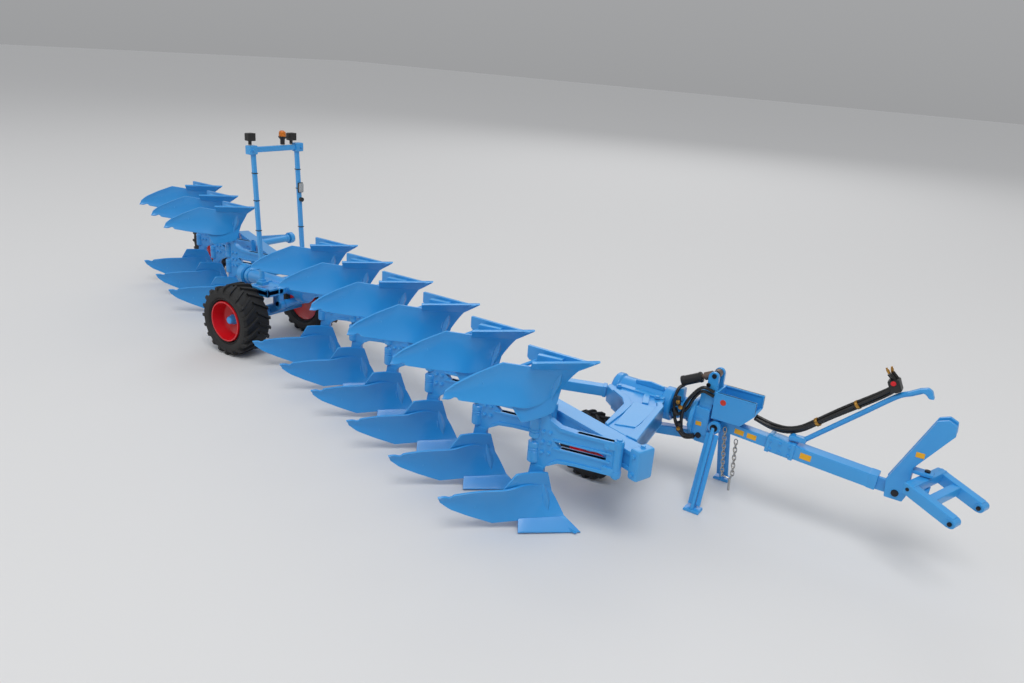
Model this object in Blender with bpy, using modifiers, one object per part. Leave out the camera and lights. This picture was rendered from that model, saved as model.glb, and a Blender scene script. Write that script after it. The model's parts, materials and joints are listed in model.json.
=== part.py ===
"""Scale model, 1:32, of a semi-mounted reversible moldboard plough.

Sizes are millimetres of the model. +X is the direction of travel, +Y its left side, +Z up, and the
working frame starts at the point of the first share, on the ground. At the end everything is moved so
that the middle of the object's base is the origin.

Nine pairs of plough bottoms hang on two slanted beams. Each pair is one bottom below and its mirror
image above the turnover axis, which runs along X. The front beam turns on the headstock, the wheeled
carriage turns back on the rear end of the front frame, and the rear beam turns on the carriage.
"""

import math

import bmesh
import bpy
from mathutils import Matrix, Vector

MM = 0.001
GAP = 0.35                          # clearance between pieces that touch

# --- driving dimensions -------------------------------------------------------------------------
BODY_PITCH_X = 31.25                # from one pair of bottoms to the next, backwards
BODY_PITCH_Y = 10.67                # and to the left
REAR_PITCH_Y = 13.0                 # the same behind the carriage, where the beam slants more
SECTION_GAP_X = 65.7                # from the last front pair to the first rear pair, beyond one pitch
SECTION_GAP_Y = 10.7
FRONT_PAIRS = 6
REAR_PAIRS = 3

AXIS_Y = 56.0                       # turnover axis
AXIS_Z = 31.4

PIVOT_X = 16.2                      # bracket pivot of the first pair
PIVOT_Y = 2.6
BRACKET_REACH = 34.75               # pivot to the trip barrels
BRACKET_ANGLE = 11.1                # degrees between the bracket and the direction of travel
BRACKET_HEIGHT = 12.0
BRACKET_THICKNESS = 2.4
SLOT_HEIGHT = 2.2
BARREL_RADIUS = 2.1
BARREL_LENGTH = 7.6
BARREL_OUTER_HEIGHT = 16.8          # between the outer ends of the two barrels
BOSS_RADIUS = 1.8                   # upright boss at the bracket's front end
BOSS_HEIGHT = 13.2

BEAM_SIZE = 7.0
BEAM_OFFSET = 2.6                   # beam's middle beyond the line of the bracket pivots
STRUT_SIZE = 4.4
STRUT_ANGLE = 20.0                  # degrees from straight back towards the beam

SHEET = 0.8                         # moldboard plate
EDGE_CLEARANCE = 0.7                # cutting edge above the ground, less the plate's own drop
BULGE = 1.5                         # hollow of the moldboard

HEADSTOCK_X = 13.0                  # middle of the headstock bearing
FLANGE_RADIUS = 7.2
DRAWBAR_SLOPE = -3.3                # degrees
DRAWBAR_REAR = 4.2                  # square sections, rear to front
DRAWBAR_COLLAR = 6.2
DRAWBAR_FRONT = 5.4
COLLAR_X = 43.0
COLLAR_LENGTH = 10.0
HITCH_PIN_X = 86.5
HITCH_PIN_Z = 25.2
HITCH_YAW = -20.0                   # degrees, as the model stands
HITCH_SPACING = 18.5                # between the two hitch arms
HITCH_ARM = 15.8                    # length of an arm, level
HITCH_DROP = 4.4                    # from its rear end to its front end
HITCH_CROSS = 6.4                   # from the rear cross bar to the front one
HITCH_BAR = 3.4
KING_REACH = 7.5                    # king pin ahead of the hitch pin
KING_HEIGHT = 6.2                   # middle of the rear cross bar above the hitch pin
LUG_THICKNESS = 1.2

STAND_X = 24.9
STAND_PIN_Z = 29.8
STAND_PIN_RADIUS = 1.4
STAND_PIN_REACH = 4.4               # end of the pin from the drawbar's middle
STAND_LEG = 1.6
STAND_HALF_SPREAD = 15.3

WHEEL_X = -216.0
WHEEL_RADIUS = 17.5
WHEEL_WIDTH = 15.6
WHEEL_INNER_Y = 17.0                # inner face of a carriage wheel from the turnover axis
RIM_RADIUS = 10.6
SUPPORT_WHEEL_RADIUS = 13.0
SUPPORT_WHEEL_WIDTH = 9.0
SUPPORT_WHEEL_X = -17.5
SUPPORT_WHEEL_Y = 38.5
REAR_WHEEL_RADIUS = 17.5
REAR_WHEEL_WIDTH = 10.0
REAR_WHEEL_X = -351.0
REAR_WHEEL_Y = 120.0
REAR_ARM_PIVOT_X = -288.0           # pivot of the rear wheel's trailing arm
ARM_THICKNESS = 3.0
RIM_BACK = 0.25                     # a rim's back plate from its middle, as a share of the tyre's width
LIFT_PIVOT_X = -203.0
LIFT_PIVOT_Z = 24.0
BEARING_RADIUS = 4.2
FRONT_BEARING_X = -194.0            # middle of the front section's rear bearing
REAR_BEARING_X = -238.0             # middle of the rear section's bearing

GANTRY_X = -209.4
GANTRY_BASE_Z = 34.4
GANTRY_TOP_Z = 101.4
GANTRY_WIDTH = 26.8
GANTRY_POST = 1.9
GANTRY_LEAN = 3.8                   # top of the gantry behind its foot
LAMP_REACH = 10.0                   # left lamp from the plough's axis
BEACON_REACH = 4.6

# --- colours: sRGB hex, roughness, metallic -----------------------------------------------------
FINISHES = {
    "blue_enamel": ("2E9FE0", 0.35, 0.0),
    "red_enamel": ("D3202A", 0.38, 0.0),
    "black_rubber": ("161616", 0.75, 0.0),
    "black_plastic": ("101010", 0.45, 0.0),
    "amber_plastic": ("E07A10", 0.3, 0.0),
    "steel": ("8A8078", 0.35, 0.8),
}

PARTS = bpy.data.collections.new("moldboard_plough")
CUTTERS = bpy.data.collections.new("cutters")


# --- scene and materials ------------------------------------------------------------------------
def clear_scene():
    for thing in list(bpy.data.objects):
        bpy.data.objects.remove(thing, do_unlink=True)
    for collection in (PARTS, CUTTERS):
        bpy.context.scene.collection.children.link(collection)


def linear(value):
    return value / 12.92 if value <= 0.04045 else ((value + 0.055) / 1.055) ** 2.4


def finish_of(name, finish):
    """A Principled material of its own for one piece."""
    colour, roughness, metallic = FINISHES[finish]
    material = bpy.data.materials.new(f"{name}_{finish}")
    material.use_nodes = True
    shader = material.node_tree.nodes["Principled BSDF"]
    rgb = [linear(int(colour[at:at + 2], 16) / 255) for at in (0, 2, 4)]
    shader.inputs["Base Color"].default_value = (*rgb, 1.0)
    shader.inputs["Roughness"].default_value = roughness
    shader.inputs["Metallic"].default_value = metallic
    return material


# --- places -------------------------------------------------------------------------------------
def along(angle):
    """Unit vector in the ground plane, angle in degrees from straight back towards the left."""
    return Vector((-math.cos(math.radians(angle)), math.sin(math.radians(angle)), 0))


def pitch_y(pair):
    """Sideways pitch in the section that carries the pair."""
    return REAR_PITCH_Y if pair >= FRONT_PAIRS else BODY_PITCH_Y


def beam_direction(pair=0):
    """Unit vector back along the beam that carries the pair."""
    return Vector((-BODY_PITCH_X, pitch_y(pair), 0)).normalized()


def beam_side(pair=0):
    """Unit vector across that beam, towards the far side."""
    return Vector((pitch_y(pair), BODY_PITCH_X, 0)).normalized()


BEAM_DIRECTION = beam_direction()
BEAM_SIDE = beam_side()
BEAM_ANGLE = math.degrees(math.atan2(BODY_PITCH_Y, BODY_PITCH_X))
BRACKET_DIRECTION = along(-BRACKET_ANGLE)


def pair_offset(pair):
    """Move of a pair of bottoms from the first pair's place."""
    if pair < FRONT_PAIRS:
        return Vector((-BODY_PITCH_X * pair, BODY_PITCH_Y * pair, 0))
    return Vector((-BODY_PITCH_X * pair - SECTION_GAP_X,
                   BODY_PITCH_Y * FRONT_PAIRS + SECTION_GAP_Y + REAR_PITCH_Y * (pair - FRONT_PAIRS), 0))


def beam_point(x, pair=0):
    """Point of a beam's middle line at x, for the beam that carries the pair."""
    start = Vector((PIVOT_X, PIVOT_Y, AXIS_Z)) + pair_offset(pair) + beam_side(pair) * BEAM_OFFSET
    run = beam_direction(pair)
    return start + run * ((x - start.x) / run.x)


def boss_reach(pair):
    """From the pivot line to the boss at the bracket's front end, which clears the beam."""
    clear = BEAM_SIZE / 2 - BEAM_OFFSET + GAP + BOSS_RADIUS
    return clear / math.sin(math.atan2(pitch_y(pair), BODY_PITCH_X) + math.radians(BRACKET_ANGLE))


# --- shapes: each returns an object whose mesh is one closed solid -------------------------------
def solid_from(bm, name="solid"):
    mesh = bpy.data.meshes.new(name)
    bmesh.ops.recalc_face_normals(bm, faces=bm.faces)
    bm.to_mesh(mesh)
    bm.free()
    thing = bpy.data.objects.new(name, mesh)
    CUTTERS.objects.link(thing)
    thing.hide_render = True
    thing.display_type = "WIRE"
    return thing


def box(size, centre, yaw=0.0, pitch=0.0, roll=0.0):
    """Box by its full sizes, its middle and its turns in degrees about Z, Y and X."""
    bm = bmesh.new()
    bmesh.ops.create_cube(bm, size=1.0, matrix=Matrix.Diagonal((*[s * MM for s in size], 1)))
    turn = (Matrix.Rotation(math.radians(yaw), 4, "Z") @ Matrix.Rotation(math.radians(pitch), 4, "Y")
            @ Matrix.Rotation(math.radians(roll), 4, "X"))
    bmesh.ops.transform(bm, verts=bm.verts, matrix=Matrix.Translation(Vector(centre) * MM) @ turn)
    return solid_from(bm)


def bar(start, end, width, height=None, roll=0.0):
    """Rectangular bar between two points: width is level, height stands across it."""
    start, end = Vector(start), Vector(end)
    run = end - start
    yaw = math.degrees(math.atan2(run.y, run.x))
    pitch = -math.degrees(math.atan2(run.z, math.hypot(run.x, run.y)))
    return box((run.length, width, height or width), (start + end) / 2, yaw, pitch, roll)


def rod(start, end, radius, sides=16, end_radius=None):
    """Round bar, or a cone, between two points."""
    start, end = Vector(start) * MM, Vector(end) * MM
    run = end - start
    bm = bmesh.new()
    bmesh.ops.create_cone(bm, cap_ends=True, segments=sides, radius1=radius * MM,
                          radius2=(radius if end_radius is None else end_radius) * MM, depth=run.length)
    turn = run.to_track_quat("Z", "Y").to_matrix().to_4x4()
    bmesh.ops.transform(bm, verts=bm.verts, matrix=Matrix.Translation((start + end) / 2) @ turn)
    return solid_from(bm)


def plate(outline, thickness, origin, across, up, holes=()):
    """Flat plate: outlines in the plane of across and up, thickness equally to both sides."""
    curve = bpy.data.curves.new("outline", "CURVE")
    curve.dimensions = "2D"
    curve.fill_mode = "BOTH"
    curve.extrude = thickness * MM / 2
    for points in (outline, *holes):
        spline = curve.splines.new("POLY")
        spline.points.add(len(points) - 1)
        for point, (a, b) in zip(spline.points, points):
            point.co = (a * MM, b * MM, 0, 1)
        spline.use_cyclic_u = True
    guide = bpy.data.objects.new("outline", curve)
    CUTTERS.objects.link(guide)
    across, up = Vector(across).normalized(), Vector(up).normalized()
    normal = across.cross(up)
    frame = Matrix((across, up, normal)).transposed().to_4x4()
    matrix = Matrix.Translation(Vector(origin) * MM) @ frame
    mesh = bpy.data.meshes.new_from_object(guide.evaluated_get(bpy.context.evaluated_depsgraph_get()))
    bpy.data.objects.remove(guide)
    bm = bmesh.new()
    bm.from_mesh(mesh)
    bmesh.ops.remove_doubles(bm, verts=bm.verts, dist=0.00001)
    bmesh.ops.transform(bm, verts=bm.verts, matrix=matrix)
    return solid_from(bm)


def tube_along(points, radius, sides=2):
    """Smooth round hose through the points, with filled ends."""
    curve = bpy.data.curves.new("hose", "CURVE")
    curve.dimensions = "3D"
    curve.bevel_depth = radius * MM
    curve.bevel_resolution = sides
    curve.use_fill_caps = True
    spline = curve.splines.new("POLY")
    spline.points.add(len(points) - 1)
    for point, place in zip(spline.points, points):
        point.co = (*(Vector(place) * MM), 1)
    guide = bpy.data.objects.new("hose", curve)
    CUTTERS.objects.link(guide)
    mesh = bpy.data.meshes.new_from_object(guide.evaluated_get(bpy.context.evaluated_depsgraph_get()))
    bpy.data.objects.remove(guide)
    bm = bmesh.new()
    bm.from_mesh(mesh)
    bmesh.ops.remove_doubles(bm, verts=bm.verts, dist=0.000002)
    return solid_from(bm)


def smooth_route(points, steps):
    """Catmull-Rom curve through the points, with that many steps between each two."""
    places = [Vector(point) for point in points]
    padded = [places[0] * 2 - places[1], *places, places[-1] * 2 - places[-2]]
    route = []
    for a, b, c, d in zip(padded, padded[1:], padded[2:], padded[3:]):
        for step in range(steps):
            t = step / steps
            route.append(((b * 2) + (c - a) * t + (a * 2 - b * 5 + c * 4 - d) * t ** 2
                          + (b * 3 - a - c * 3 + d) * t ** 3) / 2)
    route.append(places[-1])
    return route


def turned(profile, centre, axis="Y", steps=32):
    """Turned solid: profile of (radius, place along the axis) pairs, from axis to axis."""
    mesh = bpy.data.meshes.new("profile")
    bm = bmesh.new()
    verts = [bm.verts.new((radius * MM, 0, place * MM)) for radius, place in profile]
    for a, b in zip(verts, verts[1:]):
        bm.edges.new((a, b))
    bm.to_mesh(mesh)
    bm.free()
    guide = bpy.data.objects.new("profile", mesh)
    CUTTERS.objects.link(guide)
    screw = guide.modifiers.new("Turn", "SCREW")
    screw.axis = "Z"
    screw.steps = screw.render_steps = steps
    screw.use_merge_vertices = True
    screw.merge_threshold = 0.00001
    evaluated = guide.evaluated_get(bpy.context.evaluated_depsgraph_get())
    solid = bpy.data.meshes.new_from_object(evaluated)
    bpy.data.objects.remove(guide)
    bm = bmesh.new()
    bm.from_mesh(solid)
    bmesh.ops.remove_doubles(bm, verts=bm.verts, dist=0.00001)
    turn = {"X": Matrix.Rotation(math.pi / 2, 4, "Y"), "Y": Matrix.Rotation(-math.pi / 2, 4, "X"),
            "Z": Matrix.Identity(4)}[axis]
    bmesh.ops.transform(bm, verts=bm.verts, matrix=Matrix.Translation(Vector(centre) * MM) @ turn)
    return solid_from(bm)


def combine(first, others, operation):
    """The first solid with the others joined to it or cut from it."""
    for other in others:
        change = first.modifiers.new("Combine", "BOOLEAN")
        change.operation = operation
        change.solver = "EXACT"
        change.object = other
        mesh = bpy.data.meshes.new_from_object(
            first.evaluated_get(bpy.context.evaluated_depsgraph_get()))
        first.modifiers.clear()
        first.data = mesh
        bpy.data.objects.remove(other)
    return first


def part(name, finish, parent, solids, cuts=()):
    """One named piece of the plough, made of overlapping solids, less the cuts."""
    thing = combine(solids[0], solids[1:], "UNION")
    thing = combine(thing, cuts, "DIFFERENCE")
    bm = bmesh.new()
    bm.from_mesh(thing.data)
    bmesh.ops.remove_doubles(bm, verts=bm.verts, dist=0.000002)
    bmesh.ops.dissolve_limit(bm, angle_limit=math.radians(0.5), verts=bm.verts, edges=bm.edges)
    bm.to_mesh(thing.data)
    bm.free()
    thing.name = name
    thing.data.name = name
    thing.data.materials.clear()
    thing.data.materials.append(finish_of(name, finish))
    thing.data.shade_smooth()
    thing.data.set_sharp_from_angle(angle=math.radians(30))
    thing.hide_render = False
    thing.display_type = "TEXTURED"
    CUTTERS.objects.unlink(thing)
    PARTS.objects.link(thing)
    place = parent.matrix_world.translation
    thing.data.transform(Matrix.Translation(-place))
    thing.parent = parent
    return thing


def pivot(name, place, parent=None):
    """Empty on a joint's axis, which carries the pieces that move with it."""
    thing = bpy.data.objects.new(name, None)
    thing.empty_display_size = 5 * MM
    PARTS.objects.link(thing)
    world = Vector(place) * MM
    thing.parent = parent
    thing.location = world - parent.matrix_world.translation if parent else world
    bpy.context.view_layer.update()
    return thing


# --- plough bottoms -----------------------------------------------------------------------------
# Columns from the shin back to the tail: lower edge x, y, z and upper edge x, y, z of the moldboard.
MOLDBOARD = (
    (-5.0, -0.6, 3.9, -12.0, -1.4, 14.0),
    (-11.0, -6.0, 3.6, -15.0, -8.6, 15.8),
    (-17.0, -11.5, 3.4, -18.8, -16.0, 16.3),
    (-24.0, -17.2, 2.3, -26.5, -22.6, 15.6),
    (-29.5, -23.2, 5.6, -31.4, -27.0, 14.6),
    (-35.6, -30.6, 10.4, -36.2, -31.9, 13.6),
)
# Share's cutting edge and trash board's top, at the first three columns.
CUTTING_EDGE = ((0.0, 0.0), (-7.6, -7.2), (-15.2, -14.4))
TRASH_BOARD_TOP = ((-11.7, -3.5, 20.2), (-14.4, -9.0, 21.6), (-17.3, -14.6, 21.9))
MOLDBOARD_ROWS = 3
LANDSIDE_REAR_X = -25.0
LANDSIDE_HEIGHT = 5.2
LANDSIDE_Y = -1.2


def moldboard_point(column, row):
    """Point of the bottom's sheet: row 0 is the cutting edge, the last row the trash board's top."""
    if row == 0:
        x, y = CUTTING_EDGE[min(column, 2)]
        return Vector((x, y, EDGE_CLEARANCE))
    if row == MOLDBOARD_ROWS + 2:
        return Vector(TRASH_BOARD_TOP[min(column, 2)])
    share = (row - 1) / MOLDBOARD_ROWS
    low, high = Vector(MOLDBOARD[column][:3]), Vector(MOLDBOARD[column][3:])
    hollow = Vector((-0.6, 0.8, 0)) * BULGE * 4 * share * (1 - share)
    return low.lerp(high, share) + hollow * (1 - 0.12 * column)


def bottom(name, pair, upper, parent):
    """Share, moldboard and trash board as one sheet. An upper bottom is mirrored at the axis."""
    columns, rows = len(MOLDBOARD), MOLDBOARD_ROWS + 3
    bm = bmesh.new()
    bmesh.ops.create_grid(bm, x_segments=columns - 1, y_segments=rows - 1, size=1.0)
    surplus = []
    for vert in bm.verts:
        column = round((vert.co.x + 1) / 2 * (columns - 1))
        row = round((vert.co.y + 1) / 2 * (rows - 1))
        if row in (0, rows - 1) and column > 2:
            surplus.append(vert)
        vert.co = moldboard_point(column, row)
    bmesh.ops.delete(bm, geom=surplus, context="VERTS")
    soil_side = Vector((0.6, -0.8, 0.2))
    bm.normal_update()
    if sum((face.normal * face.calc_area() for face in bm.faces), Vector()).dot(soil_side) < 0:
        bmesh.ops.reverse_faces(bm, faces=bm.faces)
    for vert in bm.verts:
        if upper:
            vert.co.z = 2 * AXIS_Z - vert.co.z
        vert.co = (vert.co + pair_offset(pair)) * MM
    if upper:
        bmesh.ops.reverse_faces(bm, faces=bm.faces)
    mesh = bpy.data.meshes.new(name)
    bm.to_mesh(mesh)
    bm.free()
    sheet = bpy.data.objects.new(name, mesh)
    CUTTERS.objects.link(sheet)
    thicken = sheet.modifiers.new("Plate", "SOLIDIFY")
    thicken.thickness = SHEET * MM
    thicken.offset = -1.0
    sheet.data = bpy.data.meshes.new_from_object(
        sheet.evaluated_get(bpy.context.evaluated_depsgraph_get()))
    sheet.modifiers.clear()
    return part(name, "blue_enamel", parent, [sheet])


def leg_outline(start):
    """Half of the leg pair above the axis, as (distance from the pivot, height above the axis)."""
    half = BRACKET_HEIGHT / 2
    return [(start, SLOT_HEIGHT / 2 + 1.0), (start, half), (20.0, half), (26.0, half + 0.6),
            (30.2, half + 3.2), (32.0, half + 7.5), (32.0, 22.5), (28.6, 26.6), (28.6, 30.2), (37.0, 30.2),
            (38.4, half + 2.0), (38.4, SLOT_HEIGHT / 2 + 1.0)]


def leg_pair(name, pair, parent):
    """Bracket with its slot, the two trip barrels, and a leg and landside above and below."""
    offset = pair_offset(pair)
    origin = Vector((PIVOT_X, PIVOT_Y, AXIS_Z)) + offset
    boss_at = boss_reach(pair)
    half = leg_outline(boss_at - 1.4)
    outline = half + [(u, -w) for u, w in reversed(half)]
    slot = [(10.0, SLOT_HEIGHT / 2), (27.0, SLOT_HEIGHT / 2), (25.6, -SLOT_HEIGHT / 2), (10.0, -SLOT_HEIGHT / 2)]
    up = Vector((0, 0, 1))
    solids = [plate(outline, BRACKET_THICKNESS, origin, BRACKET_DIRECTION, up, holes=[slot])]
    boss = origin + BRACKET_DIRECTION * boss_at
    solids.append(rod(boss - up * BOSS_HEIGHT / 2, boss + up * BOSS_HEIGHT / 2, BOSS_RADIUS, 14))
    barrels_at = origin + BRACKET_DIRECTION * BRACKET_REACH
    for side in (1, -1):
        outer = side * BARREL_OUTER_HEIGHT / 2
        inner = outer - side * BARREL_LENGTH
        solids.append(rod(barrels_at + up * inner, barrels_at + up * outer, BARREL_RADIUS, 12))
        base_z = side * (EDGE_CLEARANCE + LANDSIDE_HEIGHT / 2 - AXIS_Z)
        landside = [(-5.0, side * (EDGE_CLEARANCE - 0.2 - AXIS_Z)),
                    (LANDSIDE_REAR_X, side * (EDGE_CLEARANCE - 0.2 - AXIS_Z)),
                    (LANDSIDE_REAR_X, base_z + side * 1.0), (LANDSIDE_REAR_X + 2.5, base_z + side * LANDSIDE_HEIGHT / 2),
                    (-10.6, base_z + side * LANDSIDE_HEIGHT / 2)]
        solids.append(plate(landside, 1.4, offset + Vector((0, LANDSIDE_Y, AXIS_Z)), (1, 0, 0), up))
    return part(name, "blue_enamel", parent, solids)


# --- front section ------------------------------------------------------------------------------
def front_section(parent):
    """Cross frame on the turnover bearing, front beam, strut and six pairs of bottoms."""
    up = Vector((0, 0, 1))
    head = beam_point(PIVOT_X + 2.0)
    tail = beam_point(FRONT_BEARING_X + 10.0)
    block_middle = head - BEAM_SIDE * (BEAM_OFFSET - 1.9)
    part("front_beam", "blue_enamel", parent,
         [bar(head, tail, BEAM_SIZE),
          bar(block_middle - BEAM_DIRECTION * 1.4, block_middle + BEAM_DIRECTION * 2.8, 7.6, 11.0)])
    rear_edge = beam_point(-3.6) + BEAM_SIDE * (BEAM_SIZE / 2 + GAP)
    front_edge = beam_point(11.0) + BEAM_SIDE * (BEAM_SIZE / 2 + GAP)
    frame_outline = [(front_edge.x, front_edge.y), (7.6, 43.0), (5.0, 47.0), (5.0, 62.0), (-18.0, 62.0),
                     (-18.0, 47.0), (-4.0, 36.0), (rear_edge.x, rear_edge.y)]
    part("cross_frame", "blue_enamel", parent,
         [plate(frame_outline, BEAM_SIZE + 1.0, (0, 0, AXIS_Z), (1, 0, 0), (0, 1, 0)),
          rod((-18.0, AXIS_Y, AXIS_Z), (7.0, AXIS_Y, AXIS_Z), 6.4, 24)])
    run = along(-STRUT_ANGLE)
    strut_start = Vector((-18.0 - GAP - STRUT_SIZE / 2 * abs(run.y), 50.0, AXIS_Z))
    room = ((strut_start - beam_point(strut_start.x)).dot(BEAM_SIDE) - BEAM_SIZE / 2 - GAP
            - STRUT_SIZE / 2 * math.sin(math.radians(90 - STRUT_ANGLE - BEAM_ANGLE)))
    strut_end = strut_start + run * (room / -run.dot(BEAM_SIDE))
    part("strut_tube", "blue_enamel", parent, [bar(strut_start, strut_end, STRUT_SIZE)])
    box_place = strut_start.lerp(strut_end, 0.62) + up * (STRUT_SIZE / 2 + GAP + 1.6)
    part("tool_box", "red_enamel", parent,
         [box((11.0, 6.0, 3.2), box_place, math.degrees(math.atan2(run.y, run.x)))])
    bearing_end = Vector((FRONT_BEARING_X, AXIS_Y, AXIS_Z))
    part("rear_crosshead", "blue_enamel", parent,
         [bar(bearing_end, bearing_end + Vector((0, tail.y - AXIS_Y + 5.0, 0)), 5.6, BEAM_SIZE),
          rod(bearing_end - Vector((3.0, 0, 0)), bearing_end + Vector((3.0, 0, 0)), 5.6, 24),
          bar(tail + BEAM_DIRECTION * GAP, tail + BEAM_DIRECTION * 9.0, 5.0, 5.0)])
    for pair in range(FRONT_PAIRS):
        number = pair + 1
        leg_pair(f"leg_pair_{number}", pair, parent)
        bottom(f"lower_bottom_{number}", pair, False, parent)
        bottom(f"upper_bottom_{number}", pair, True, parent)


def rear_section(parent):
    """Rear beam on the carriage's rear bearing, with three pairs of bottoms."""
    first = FRONT_PAIRS
    start_x = REAR_BEARING_X
    head = beam_point(start_x - 2.3 - GAP - 1.2, first)
    tail = beam_point(PIVOT_X + pair_offset(first + REAR_PAIRS - 1).x - 9.0, first)
    hub = Vector((start_x, AXIS_Y, AXIS_Z))
    arm_end = Vector((start_x, head.y + 2.0, AXIS_Z))
    part("rear_crosshead_arm", "blue_enamel", parent,
         [bar(hub, arm_end, 4.2, BEAM_SIZE),
          rod(hub - Vector((2.3, 0, 0)), hub + Vector((2.3, 0, 0)), 5.6, 24)])
    tube_end = Vector((REAR_ARM_PIVOT_X, REAR_WHEEL_Y + REAR_WHEEL_WIDTH / 2 + 3.0, AXIS_Z))
    part("rear_beam", "blue_enamel", parent,
         [bar(head, tail, BEAM_SIZE), rod(beam_point(REAR_ARM_PIVOT_X, first), tube_end, 2.4, 16)])
    for pair in range(first, first + REAR_PAIRS):
        number = pair + 1
        leg_pair(f"leg_pair_{number}", pair, parent)
        bottom(f"lower_bottom_{number}", pair, False, parent)
        bottom(f"upper_bottom_{number}", pair, True, parent)


def rear_wheel_arm(parent):
    """Trailing arm of the rear wheel, outside the end of the rear beam's cross tube."""
    y = REAR_WHEEL_Y + REAR_WHEEL_WIDTH / 2 + 3.0 + GAP + ARM_THICKNESS / 2
    pin = Vector((REAR_ARM_PIVOT_X, y, AXIS_Z))
    axle = Vector((REAR_WHEEL_X, y, REAR_WHEEL_RADIUS))
    inner_face = Vector((0, -ARM_THICKNESS / 2, 0))
    rim_back = Vector((REAR_WHEEL_X, REAR_WHEEL_Y + REAR_WHEEL_WIDTH * RIM_BACK + GAP, REAR_WHEEL_RADIUS))
    part("rear_wheel_arm", "blue_enamel", parent,
         [bar(pin, axle, ARM_THICKNESS - 0.4, 4.4), rod(pin + inner_face, pin - inner_face, 3.4, 18),
          rod(rim_back, axle - inner_face, 1.7, 14)])


# --- carriage -----------------------------------------------------------------------------------
def carriage(parent):
    """Bearing tube on the turnover axis, plates, and the lamp gantry."""
    front_end = FRONT_BEARING_X - 3.0 - GAP
    rear_end = REAR_BEARING_X + 2.3 + GAP
    part("carriage_frame", "blue_enamel", parent,
         [rod((rear_end, AXIS_Y, AXIS_Z), (front_end, AXIS_Y, AXIS_Z), BEARING_RADIUS, 20),
          box((14.0, 33.0, 4.0), (GANTRY_X, AXIS_Y, AXIS_Z)),
          box((5.0, 3.0, 10.0), (LIFT_PIVOT_X - 1.5, AXIS_Y + 8.0, LIFT_PIVOT_Z + 4.0)),
          box((5.0, 3.0, 10.0), (LIFT_PIVOT_X - 1.5, AXIS_Y - 8.0, LIFT_PIVOT_Z + 4.0)),
          box((8.0, 19.0, 3.0), (LIFT_PIVOT_X - 3.0, AXIS_Y, AXIS_Z))])
    half_width = GANTRY_WIDTH / 2
    top = Vector((GANTRY_X - GANTRY_LEAN, AXIS_Y, GANTRY_TOP_Z - 1.5))
    solids = [box((GANTRY_POST, GANTRY_WIDTH + 6.0, 2.6), top)]
    for side in (1, -1):
        aside = Vector((0, side * half_width, 0))
        foot = Vector((GANTRY_X, AXIS_Y, GANTRY_BASE_Z)) + aside
        solids.append(rod(foot, top + aside, GANTRY_POST / 2 * math.sqrt(2), 4))
        solids.append(box((4.6, 4.4, 2.0), foot + Vector((0, 0, 1.0 - GAP / 2))))
        solids.append(box((3.6, 4.6, 4.2), top + Vector((0, side * (half_width + 0.8), 0))))
    part("gantry", "blue_enamel", parent, solids)
    lamp_z = GANTRY_TOP_Z + 0.6 + GAP
    for label, reach, foot_z in (("right", -half_width - 1.6, lamp_z), ("left", LAMP_REACH, lamp_z - 0.8)):
        y = AXIS_Y + reach
        part(f"gantry_lamp_{label}", "black_plastic", parent,
             [rod((top.x, y, foot_z), (top.x, y, foot_z + 3.0), 0.8, 10),
              box((3.4, 4.2, 3.6), (top.x, y, foot_z + 3.6))])
    base_z = GANTRY_TOP_Z - 0.2 + GAP
    part("beacon", "amber_plastic", parent,
         [turned([(0, 0), (1.1, 0), (1.1, 2.2), (2.0, 3.4), (2.0, 4.0), (1.7, 4.0), (1.7, 6.2), (0, 6.8)],
                 (top.x, AXIS_Y + BEACON_REACH, base_z), "Z", 16)])


def tyre(name, centre, radius, rim_radius, width, parent):
    """Tyre as a turned ring with rounded shoulders, open at the rim."""
    half = width / 2
    profile = [(rim_radius, -half * 0.86), (radius * 0.86, -half), (radius * 0.97, -half * 0.84), (radius, -half * 0.5),
               (radius, half * 0.5), (radius * 0.97, half * 0.84), (radius * 0.86, half), (rim_radius, half * 0.86),
               (rim_radius, -half * 0.86)]
    return part(name, "black_rubber", parent, [turned(profile, centre, "Y", 28)])


def rim(name, centre, radius, width, dish_side, parent):
    """Dished rim with a hub: dish_side is +1 where the dish opens to the left, -1 to the right."""
    half = width / 2
    radius -= GAP
    back = -width * RIM_BACK
    profile = [(0, back), (radius * 0.45, back), (radius, -half * 0.72), (radius, half * 0.86),
               (radius - 0.9, half * 0.86), (radius - 1.6, half * 0.2), (2.6, 0.0), (2.6, half * 0.5), (0, half * 0.5)]
    if dish_side < 0:
        profile = [(r, -place) for r, place in reversed(profile)]
    return part(name, "red_enamel", parent, [turned(profile, centre, "Y", 28)])


def carriage_axle(parent):
    """Axle beam with its two arms to the lift pivot and the stub axles of the wheels."""
    centre = Vector((WHEEL_X, AXIS_Y, WHEEL_RADIUS))
    reach = WHEEL_INNER_Y - 1.2
    solids = [bar(centre - Vector((0, reach, 0)), centre + Vector((0, reach, 0)), 6.0, 5.0)]
    for side in (1, -1):
        y = AXIS_Y + side * 4.8
        solids.append(bar((WHEEL_X, y, WHEEL_RADIUS), (LIFT_PIVOT_X, y, LIFT_PIVOT_Z), 2.6, 4.4))
        solids.append(rod((WHEEL_X, AXIS_Y + side * (reach - 1), WHEEL_RADIUS),
                          (WHEEL_X, AXIS_Y + side * (reach + 4.2), WHEEL_RADIUS), 1.6, 12))
    solids.append(rod((LIFT_PIVOT_X, AXIS_Y - 6.1, LIFT_PIVOT_Z), (LIFT_PIVOT_X, AXIS_Y + 6.1, LIFT_PIVOT_Z), 2.2, 14))
    part("carriage_axle", "blue_enamel", parent, solids)


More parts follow.
